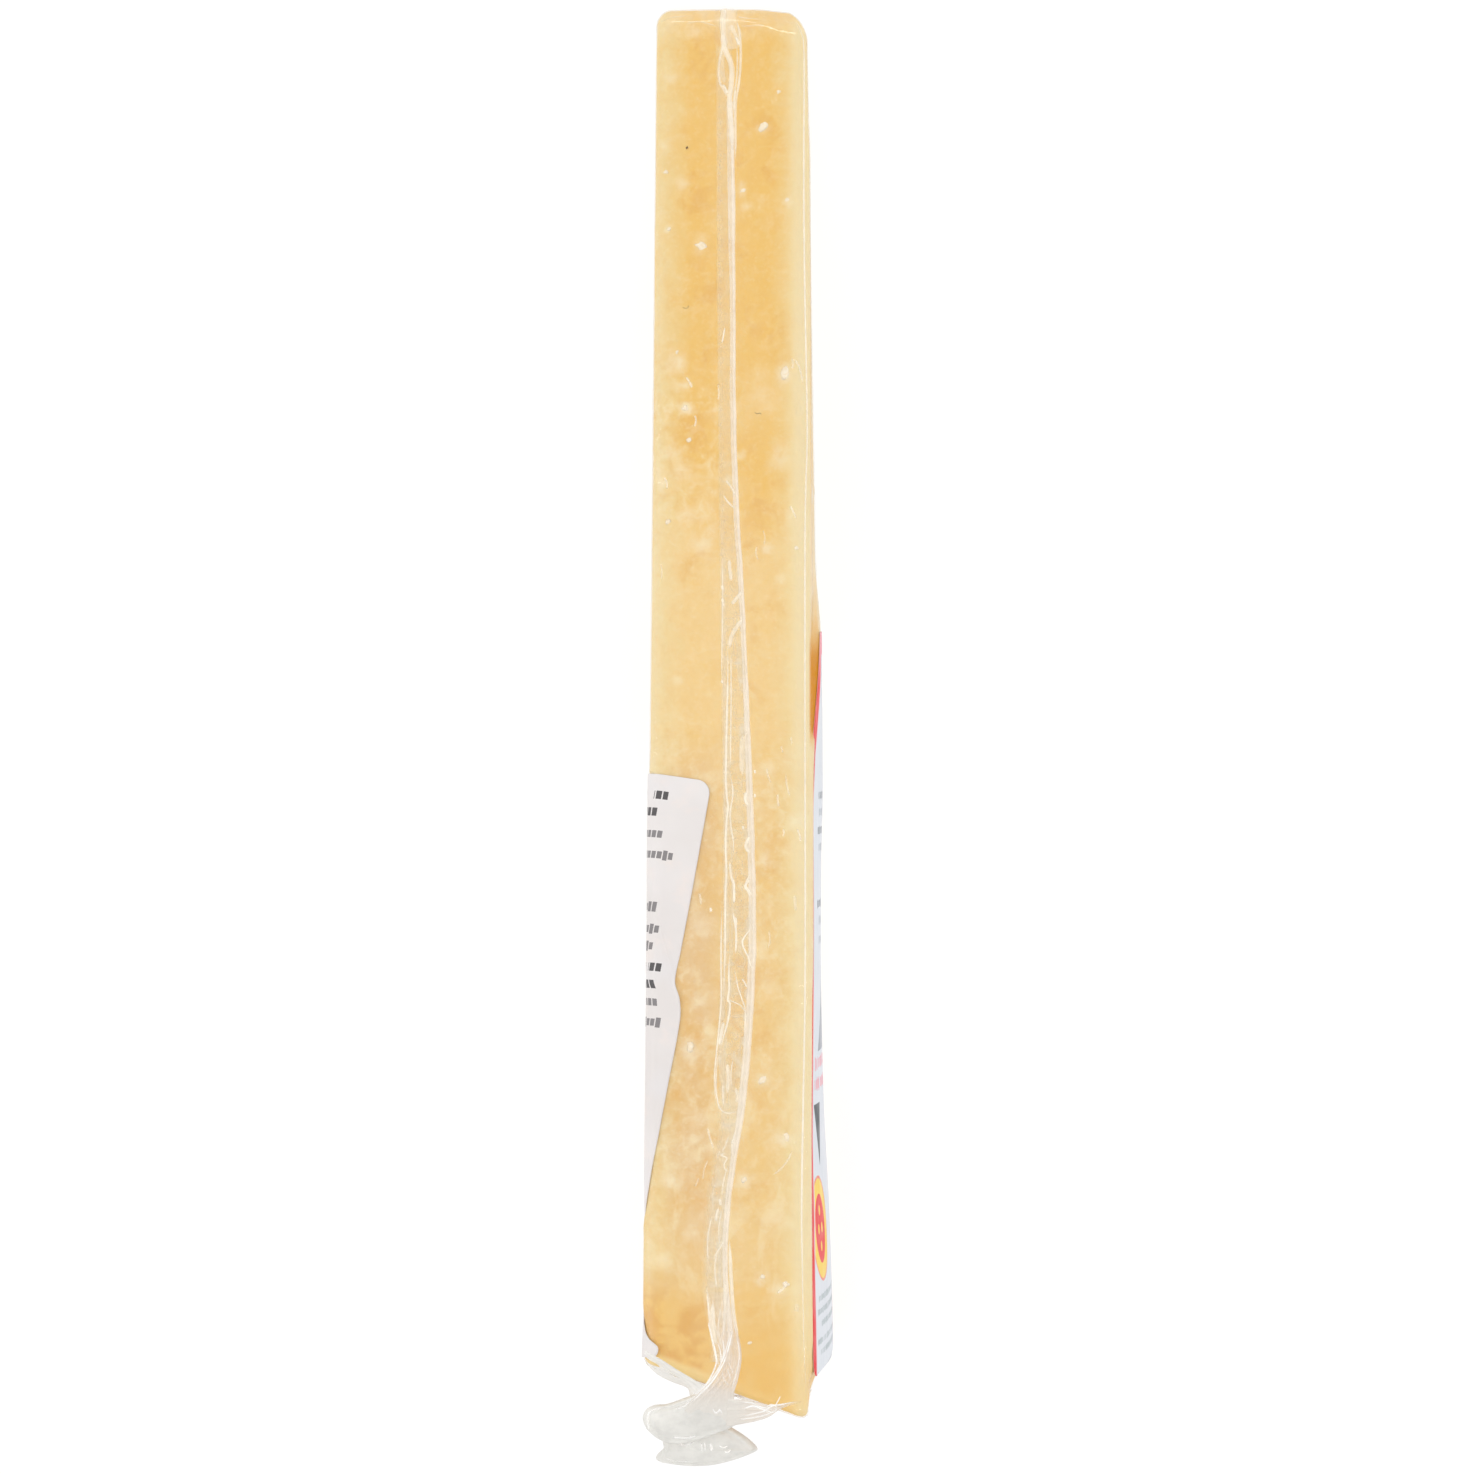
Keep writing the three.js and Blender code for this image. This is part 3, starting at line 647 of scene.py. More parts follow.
# the label's edge over the shown cut: creased once half way, and pulled over again at its foot
back_near = curve([[125.9, 26.75], [140, 26.45], [150, 26.15], [154.6, 26.03], [156.9, 27.05], [159.8, 27.54], [170, 27.25], [180, 26.95], [185, 26.7], [188.5, 26.1], [191, 25.6], [194.5, 25.8], [198, 26.6],
                   [200.6, 27.9], [203.2, 29.3], [204.4, 30.3], [205.4, 31.6], [207.0, 32.0]])


def back_x(q):
    """Where the back label's edge lies over the shown cut."""
    return -half_slab(q) + 0.7 + back_near(q) * COS - q * SIN


def common_attrs(ob, c=None):
    c = unplace(coords(ob)) if c is None else c
    x, q, w = c[:, 0], c[:, 1], c[:, 2]
    slab, cut = np.abs(x) - half_slab(q), np.abs(w) * COS - q * SIN
    put_attr(ob, "along", q)
    put_attr(ob, "edge", np.clip(-(slab + cut), 0, 50))
    put_attr(ob, "rind", np.clip(-(np.hypot(q, w) - rind_radius(x, w)) / math.hypot(1, RUNOUT), -1, 60))
    put_attr(ob, "below", np.clip(-(w * COS - q * SIN), 0, 50))


PUFFS = [(676, 363, 10, 0.75), (671, 357, 5, 0.6), (687, 385, 5, 0.7), (786, 376, 9, 0.8), (685, 409, 7, 0.8), (797, 821, 9, 0.85), (690, 1047, 9, 0.8), (762, 1080, 7, 0.7),
         (785, 1139, 8, 0.75), (744, 1181, 8, 0.6), (670, 1181, 10, 0.55), (663, 1260, 10, 0.35), (799, 1313, 9, 0.8), (779, 1290, 8, 0.5), (761, 1278, 5, 0.7), (695, 31, 6, 0.4),
         (671, 78, 8, 0.35), (742, 192, 7, 0.45), (683, 184, 7, 0.4), (664, 146, 6, 0.35), (681, 468, 13, 0.35), (672, 455, 9, 0.3), (780, 455, 14, 0.35), (765, 395, 16, 0.2),
         (704, 545, 12, 0.45), (712, 530, 8, 0.4), (663, 484, 7, 0.5), (766, 548, 6, 0.45), (790, 515, 7, 0.5), (685, 515, 10, 0.3), (700, 925, 12, 0.35), (690, 880, 12, 0.3),
         (770, 770, 12, 0.35), (788, 760, 10, 0.35), (765, 860, 9, 0.5), (700, 1000, 14, 0.25), (770, 990, 12, 0.25), (700, 1120, 12, 0.35), (775, 1220, 14, 0.25), (690, 1230, 12, 0.3),
         (660, 1330, 10, 0.2), (800, 1345, 9, 0.5), (795, 1290, 7, 0.4), (730, 1360, 8, 0.2), (789, 201, 5, 0.6), (668, 230, 4, 0.6), (763, 128, 6, 0.5), (701, 247, 7, 0.5)]


def puffs(c):
    """Soft pale clouds in the curd of the shown cut: places in the frame, radius in pixels and strength."""
    x, q, w = c[:, 0], c[:, 1], c[:, 2]
    near = smooth(-2.0, -0.3, w * COS - q * SIN)
    out = np.zeros(len(c))
    for k, (px, py, r, strength) in enumerate(PUFFS):
        at = seen_on_cut(px, py, -0.1)
        d = np.hypot((x - at[0]) * (1 + 0.2 * math.sin(k * 2.3)), (q - at[1]) * (1 - 0.2 * math.sin(k * 2.3)))
        d = d * PX_MM / r * (1 + 0.30 * noise(c, r / PX_MM * 0.9, 401 + k))
        out = np.maximum(out, strength * 1.0 * np.exp(-(d**2) * 1.6))
    return out * near


def painted_shade_glow_zone(c):
    """Painted shade and glow on the flat side between the front label's slanted side and the shown cut: deep orange
    where the label's lifted edge shades the cheese, standing for light glowing out through the cheese's edge.
    """
    x, q, w = c[..., 0], c[..., 1], c[..., 2]
    bare = w - np.minimum(front_near(q), slant(q))
    side = smooth(0.965, 0.992, x / half_slab(q)) * smooth(0.9, 1.6, q * SIN - w * COS)
    return side * smooth(-2.5, -0.5, bare) * lerp(0.25, 1.0, smooth(105.5, 110.0, q)) * smooth(102.5, 105.5, q) * (1 - smooth(119, 123, q))


def make_cheese():
    ob = body_mesh("cheese", 52, 66, 0.55, -0.06, 22)
    c = unplace(coords(ob))
    n = normal_at(c)
    x, q, w = c[:, 0], c[:, 1], c[:, 2]
    rind = -(np.hypot(q, w) - rind_radius(x, w))
    slab, cut = np.abs(x) - half_slab(q), np.abs(w) * COS - q * SIN
    edge = np.clip(-(slab + cut), 0, 50)
    zone = grain_zone(c)
    lumps = fbm(c, (1.5, 2.0, 1.5), 23, 3)
    d = 0.05 * fbm(c, 17, 11, 2) - 0.07 * zone * np.abs(lumps)
    pits = smooth(0.50, 0.85, noise(c, (1.2, 1.8, 1.2), 31)) * zone
    d += -0.08 * pits
    streak = noise(np.stack([x, q * 0.02, w * 0.0], -1), (0.5, 1, 1), 41)
    d += -0.02 * np.abs(streak) * smooth(-0.6, -0.2, cut) * smooth(-0.3, 0.3, noise(c, (8, 40, 8), 43))
    chips = smooth(0.35, 0.8, noise(c, (2.2, 3.4, 2.2), 51)) * (1 - smooth(0.2, 1.4, edge)) * smooth(30, 60, q)
    d += -0.12 * chips
    crust = 1 - smooth(0.4, 1.4, rind)
    d += crust * (-0.12 * np.abs(fbm(c, (1.8, 1.8, 1.8), 61, 3)) - 0.10 * smooth(0.3, 0.8, noise(c, (5, 5, 4), 67)))
    d = np.clip(d, -0.5, 0.06)
    # snug under both labels
    on_front = smooth(0.90, 0.98, x / half_slab(q)) * smooth(94, 102, q)
    on_back = smooth(122, 126, q) * (1 - smooth(208, 211, q)) * (1 - smooth(0.5, 2.5, x * COS + np.where(q > 190, 1.0, 0.0) - back_x(q)))
    snug = np.maximum(on_front, on_back)
    d = d * (1 - snug) + 0.08 * snug + swell(c)
    set_coords(ob, place(c + shoulder(c) + n * d[:, None] + lean(c) * (1 - smooth(-1.0, 0.5, front_near(q) - w) * smooth(100, 108, q))[:, None]))
    common_attrs(ob, c)
    put_attr(ob, "grain", zone)
    put_attr(ob, "puff", puffs(c))
    put_attr(ob, "amber", painted_shade_glow_zone(c))
    put_attr(ob, "pale_lumps", np.clip(zone * smooth(0.45, 0.8, np.abs(lumps)) * 0.5 + pits * 0.5, 0, 1))
    ob.data.materials.append(cheese_material())
    return ride(ob, "cheese", "wrapped_wedge")


def blob(centre, n, size, seed, flat=0.45, sub=2):
    """A small rough lump lying in a surface with normal n."""
    bm = bmesh.new()
    bmesh.ops.create_icosphere(bm, subdivisions=sub, radius=1.0)
    v = np.array([p.co[:] for p in bm.verts])
    faces = [[p.index for p in f.verts] for f in bm.faces]
    bm.free()
    rng = np.random.default_rng(seed)
    v = v * (1 + 0.34 * noise(v, 0.75, seed)[:, None] + 0.15 * noise(v, 0.35, seed + 5)[:, None])
    t = np.cross(n, [0.3, 1.0, 0.2])
    t /= np.linalg.norm(t)
    b = np.cross(n, t)
    ang = rng.uniform(0, math.pi)
    t, b = t * math.cos(ang) + b * math.sin(ang), b * math.cos(ang) - t * math.sin(ang)
    s = size / 2
    p = centre + v[:, :1] * t * s * rng.uniform(0.85, 1.3) + v[:, 1:2] * b * s * rng.uniform(0.7, 1.0) + v[:, 2:] * n * s * flat
    return p, faces


def make_crystals():
    verts, faces, base = [], [], 0
    # on the shown cut: place in the frame and size in pixels
    shown = [(763, 127, 9), (779, 92, 5), (701, 246, 10), (669, 229, 5), (787, 200, 5), (785, 374, 11), (685, 408, 8),
             (690, 1047, 9), (762, 1080, 8), (787, 1137, 7), (744, 1180, 6), (762, 1277, 6), (786, 1284, 6), (750, 1343, 5),
             (666, 172, 5), (677, 352, 4), (796, 548, 4), (689, 440, 5), (668, 522, 5), (743, 191, 5)]
    spots = []
    for px, py, size in shown:
        c = seen_on_cut(px, py, -0.2)
        spots.append((c, size / PX_MM * 0.98))
    rng = np.random.default_rng(7)
    while len(spots) < 92:
        q = math.sqrt(rng.uniform(Q_TIP**2 * 4, 205.0**2))
        side = rng.integers(0, 3)
        if side == 0:
            x, w = rng.uniform(-9, 9), -q * TAN
        else:
            x, w = (1 if side == 1 else -1) * half_slab(q), rng.uniform(-1, 1) * (q * TAN - 2)
        spots.append((np.array([x, q, w]), float(rng.uniform(0.4, 1.0) ** 2 * 1.5 + 0.3)))
    for k, (c, size) in enumerate(spots):
        n = normal_at(c[None])[0]
        c = c - n * (depth_at(c[None])[0] + 0.06 + 0.04 * size)
        p, f = blob(c, n, size, 100 + k)
        out = np.maximum(0, depth_at(p) - 0.03)      # flush under the film
        p = p - n * out[:, None]
        verts.append(p)
        faces += [[i + base for i in face] for face in f]
        base += len(p)
    ob = new_object("crystals", place(np.concatenate(verts)), faces)
    ob.data.materials.append(crystal_material())
    return ride(ob, "cheese")


# ------------------------------------------------------------------ the film
seal_edge = curve([[17.2, -0.3], [22, 0.5], [30, 0.5], [42, 0.72], [59, 0.85], [81, 1.15], [105, 2.45], [135, 3.85],
                   [152, 4.1], [170, 2.95], [186, 0.7], [196, 0.4], [204, 1.1], [211, 0.6]])
seal_root = curve([[17.2, -2.2], [26, -1.9], [60, -1.6], [101, -1.0], [130, -0.5], [150, -0.5], [165, -1.2],
                   [174, -1.0], [186, -2.6], [198, -3.0], [205, -1.9], [211, -2.4]])
GATHER = np.array([-2.6, 210.5, 27.0])       # where the film is drawn together at the rind


def film_wrinkles(c):
    """How far the skin stands off the cheese, and how cloudy it is there."""
    x, q, w = c[:, 0], c[:, 1], c[:, 2]
    cut = w * COS - q * SIN
    shown = smooth(-1.2, -0.1, cut)
    r = np.linalg.norm(c - GATHER, axis=1)
    ang = np.arctan2(x - GATHER[0], GATHER[2] - w)
    fan = np.maximum(0, np.cos(ang * 15 + 1.2 * noise(c, 9, 71)) + 0.25 * noise(c, 3.5, 73)) ** 3
    rind_face = smooth(1.6, 0.4, -(np.hypot(q, w) - rind_radius(x, w))) * (1 - shown)
    pull = rind_face * np.exp(-((r / 26.0) ** 2)) * 1.4
    up = 0.16 * fan * pull + 0.12 * rind_face * np.maximum(0, 1 - r / 34)
    near_seal = np.exp(-(((x - (seal_edge(q) + seal_root(q)) / 2) / 3.0) ** 2)) * shown
    crease = 1 - np.abs(noise(c, (1.4, 3.0, 3.0), 79))
    up += 0.04 * smooth(0.85, 1.0, crease) * near_seal * smooth(95, 130, q) * (1 - smooth(196, 204, q))
    up += 0.03 * (1 - shown) * smooth(0.80, 1.0, 1 - np.abs(noise(c, (4, 14, 5), 83)))
    tip = smooth(Q_TIP + 5.5, Q_TIP + 1.0, q)
    up += 0.02 * tip * np.maximum(0, np.cos(q * 3.1 + 0.35 * x + noise(c, 3, 87))) ** 2
    side = smooth(-2.4, 0.0, np.abs(x) - half_slab(q)) * smooth(30, 60, q)
    milk = 0.02 + 0.16 * tip + 0.25 * np.clip(pull, 0, 1) * (0.35 + fan) + 0.05 * near_seal + 0.10 * side * shown
    return up + swell(c), np.clip(milk, 0, 0.8)


def make_skin():
    ob = body_mesh("film_skin", 64, 40, 0.55, 0.08, 26)
    c = unplace(coords(ob))
    up, milk = film_wrinkles(c)
    q, w = c[:, 1], c[:, 2]
    set_coords(ob, place(c + shoulder(c) + normal_at(c) * up[:, None] + lean(c) * (1 - smooth(-1.0, 0.5, front_near(q) - w) * smooth(100, 108, q))[:, None]))
    put_attr(ob, "milk", milk)
    put_attr(ob, "grain", grain_zone(c))
    put_attr(ob, "dull", smooth(0.70, 0.80, -c[:, 0] / half_slab(q)) * smooth(168, 184, q) * smooth(-6.0, -3.0, w * COS - q * SIN) * 0.9
             + np.minimum(1, painted_shade_glow_zone(c) * 1.5) * 0.9 + 0.7 * smooth(0.70, 0.80, c[:, 0] / half_slab(q)) * smooth(192, 197, q))
    ob.data.materials.append(film_material("film", lin(246, 240, 226), bump=0.20, crinkle=0.8, dulled=True))
    return ride(clear(ob), "film")


def on_cut(x, q, n):
    """Points standing n above the tight pack's shown cut."""
    w = face_w(x, q)
    c = np.stack(np.broadcast_arrays(x, q, w), -1)
    nrm = normal_at(c)
    return c + nrm * np.asarray(n)[..., None]


def make_seal():
    rows, cols = 660, 24
    q = np.linspace(Q_TIP + 0.2, 207.6, rows)[:, None]
    s = np.linspace(0, 1, cols)[None, :]
    root, edge = seal_root(q) - 0.25, seal_edge(q) - 0.30
    x = lerp(root, edge, s)
    p3 = np.stack(np.broadcast_arrays(x, q, 0 * x), -1)
    dr, de = x - root, edge - x
    low = smooth(84, 112, q)
    dome = lerp(0.06, 0.24, smooth(96, 125, q)) * (1 - 0.45 * smooth(170, 178, q)) * np.sin(math.pi * s) ** 0.7
    pucker = (1 - np.abs(noise(p3 + 0.35 * noise(p3, 3, 91)[..., None], (1.4, 1.1, 1), 93))) ** 3
    pucker2 = (1 - np.abs(noise(p3, (0.9, 2.6, 1), 97))) ** 4
    blobs = smooth(0.30, 0.75, noise(p3, (0.9, 1.6, 1), 99)) * np.exp(-(((de - 0.75) / 0.5) ** 2)) * smooth(104, 116, q)
    amp = lerp(0.02, 0.09, smooth(84, 130, q)) * np.sin(math.pi * s) ** 0.5
    at_root = np.exp(-(((dr - 0.55) / 0.36) ** 2))
    # a second fold beside the root, and the rounded end of the wide upper stretch
    second = np.exp(-(((dr - lerp(1.0, 1.5, smooth(118, 150, q)) + 0.5 * smooth(158, 172, q)) / 0.17) ** 2)) * smooth(112, 124, q) * (1 - smooth(170, 175, q))
    loop = np.exp(-(((q - 174.4 - 0.6 * np.sin(math.pi * s)) / 0.34) ** 2)) * smooth(0, 0.12, s) * (1 - smooth(0.8, 1.0, s))
    rise = 0.16 * blobs + amp * (0.8 * pucker + 0.5 * pucker2 - 0.45) + 0.16 * loop + 0.13 * second + lerp(0.03, 0.14, low) * at_root
    top = np.maximum(0.15 + dome + rise * np.sin(math.pi * s) ** 0.35, 0.15 + 0.02 * np.sin(math.pi * s))
    foot = smooth(158, 176, q)
    milk = lerp(0.26, 0.24, smooth(82, 100, q)) + 0.24 * foot
    # milkier on the pucker crests, blobs, root line and folds: the film's own cloudiness, and also painted glints where
    # those folds would catch the light
    milk = milk - 0.06 * low + 0.24 * smooth(0.40, 0.95, pucker) * low + 0.22 * pucker2 * low + 0.50 * blobs
    milk = milk + lerp(0.08, 0.30, low) * (1 - 0.8 * foot) * at_root + 0.30 * second + 0.30 * loop + lerp(0.06, 0.34, low) * np.exp(-((de / 0.55) ** 2))
    fade = smooth(0, lerp(0.30, 1.1, foot), dr) * (0.25 + 0.75 * smooth(20, 30, q))
    ob = closed_sheet("seal_strip", on_cut(x, q, top), on_cut(x, q, np.full(x.shape, 0.13)))
    m = np.clip(milk * fade, 0, 0.85).ravel()
    put_attr(ob, "milk", np.concatenate([m, m * 0]))
    ob.data.materials.append(film_material("film_strip", lin(223, 210, 186), rough=0.2, bump=0.06, base_shine=0.012, graze=0.2, milk_rough=0.45))
    return ride(clear(ob), "film")


def ribbon(path_x, path_q, height, width, thick, section=8):
    """A narrow flattened strand lying over the shown cut: closed tube, as (points, faces)."""
    n = len(path_x)
    base = on_cut(np.asarray(path_x, float), np.asarray(path_q, float), np.asarray(height, float))
    tang = np.gradient(base, axis=0)
    tang /= np.linalg.norm(tang, axis=1, keepdims=True)
    up = normal_at(base)
    side = np.cross(tang, up)
    side /= np.linalg.norm(side, axis=1, keepdims=True)
    phi = np.linspace(0, 2 * math.pi, section, endpoint=False)
    width, thick = np.broadcast_to(width, n), np.broadcast_to(thick, n)
    ring = base[:, None] + side[:, None] * (np.cos(phi)[None, :, None] * width[:, None, None] / 2) \
        + up[:, None] * (np.sin(phi)[None, :, None] * thick[:, None, None] / 2)
    faces = grid_faces(n, section, wrap=True)
    faces += [tuple(range(section))[::-1], tuple((n - 1) * section + i for i in range(section))]
    return ring.reshape(-1, 3), faces


def make_weld():
    """The milky welded band along the strip's free edge."""
    rows = 700
    q = np.linspace(Q_TIP + 13.5, 205.4, rows)
    wob = noise(np.stack([q, q * 0, q * 0], -1), (9, 1, 1), 101)
    wob2 = noise(np.stack([q, q * 0, q * 0], -1), (2.6, 1, 1), 103)
    width = 1.10 - 0.26 * smooth(44, 62, q) + 0.30 * smooth(112, 140, q) - 0.28 * smooth(168, 182, q) + 0.05 * wob
    x1 = seal_edge(q) + 0.05 + 0.03 * wob2
    x = x1 - width / 2
    lift = 0.30 + 0.08 * wob * smooth(60, 120, q) + 0.03 * wob2 + 0.12 * smooth(100, 140, q)
    cols = 13
    s = np.linspace(-1, 1, cols)[None, :]
    xx = x[:, None] + s * width[:, None] / 2
    groove = 0.07 * (1 - s**2) - 0.05 * np.exp(-((s / 0.30) ** 2))
    top = on_cut(xx, q[:, None], lift[:, None] + groove)
    bottom = on_cut(xx, q[:, None], lift[:, None] - 0.08 * (1 - s**4) - 0.02)
    ob = closed_sheet("seal_weld", top, bottom)
    right = np.exp(-(((s - 0.41) / 0.32) ** 2))
    left = np.exp(-(((s + 0.62) / 0.26) ** 2))
    m = 0.31 + 0.48 * right + lerp(0.05, 0.24, smooth(90, 120, q))[:, None] * left
    m = m * (1 - 0.35 * smooth(0.8, 1.0, np.abs(s))) * (0.55 + 0.45 * smooth(30, 38, q))[:, None]
    m = np.clip(m + 0.05 * wob2[:, None], 0, 0.88).ravel()
    put_attr(ob, "milk", np.concatenate([m, m]))
    ob.data.materials.append(film_material("film_weld", lin(240, 227, 208), rough=0.16, bump=0.06, vary=0.05, base_shine=0.02, graze=0.2))
    return ride(clear(ob), "film")


def through(points, n):
    """A smooth curve through the points."""
    p = np.asarray(points, float)
    t = np.linspace(0, len(p) - 1, n)
    i = np.clip(t.astype(int), 0, len(p) - 2)
    f = (t - i)[:, None]
    p0, p1, p2, p3 = p[np.maximum(i - 1, 0)], p[i], p[i + 1], p[np.minimum(i + 2, len(p) - 1)]
    return 0.5 * (2 * p1 + (p2 - p0) * f + (2 * p0 - 5 * p1 + 4 * p2 - p3) * f**2 + (3 * p1 - p0 - 3 * p2 + p3) * f**3)


class Strands:
    """Thin folds in the film, and milky strands painted as glints and highlight lines, each a narrow flattened tube,
    gathered into one piece.
    """

    def __init__(self):
        self.verts, self.faces, self.milk, self.base = [], [], [], 0

    def tube(self, c, up, width, thick, cloudy, section=12, taper=5.0):
        n = len(c)
        t = np.linspace(0, 1, n)
        ends = np.minimum(1, np.minimum(t, 1 - t) * taper + 0.10)
        tang = np.gradient(c, axis=0)
        tang /= np.maximum(np.linalg.norm(tang, axis=1, keepdims=True), 1e-9)
        side = np.cross(tang, up)
        side /= np.maximum(np.linalg.norm(side, axis=1, keepdims=True), 1e-9)
        up = np.cross(side, tang)
        phi = np.linspace(0, 2 * math.pi, section, endpoint=False)
        wide, deep = np.broadcast_to(width, n) * ends, np.broadcast_to(thick, n) * ends
        ring = c[:, None] + side[:, None] * (np.cos(phi)[None, :, None] * wide[:, None, None] / 2) \
            + up[:, None] * (np.sin(phi)[None, :, None] * deep[:, None, None] / 2)
        fc = grid_faces(n, section, wrap=True)
        fc += [tuple(range(section))[::-1], tuple((n - 1) * section + i for i in range(section))]
        self.verts.append(ring.reshape(-1, 3))
        self.faces += [[j + self.base for j in f] for f in fc]
        fade = np.minimum(1, np.minimum(t, 1 - t) * taper * 1.2 + 0.15)
        soft = 0.12 + 0.88 * np.abs(np.sin(phi)) ** 1.3
        self.milk.append((np.asarray(np.broadcast_to(cloudy, n) * fade)[:, None] * soft[None]).ravel())
        self.base += n * section

    def lie(self, points, px_wide, cloudy=0.6, lift=0.22, thick=None, taper=5.0):
        """A fold, or a painted glint, over the shown cut through places (px, py) of the frame."""
        pts = np.array([seen_on_cut(px, py, 0.1) for px, py in points])
        c = through(pts, max(10, 9 * len(pts)))
        base = on_cut(c[:, 0], c[:, 1], np.full(len(c), lift))
        wide = px_wide / PX_MM
        self.tube(base, normal_at(base), wide, thick or wide * 0.18, cloudy, taper=taper)

    def finish(self, name, colour, **kw):
        ob = new_object(name, place(np.concatenate(self.verts)), self.faces)
        put_attr(ob, "milk", np.concatenate(self.milk))
        ob.data.materials.append(film_material(name, colour, **kw))
        return ride(clear(ob), "film")


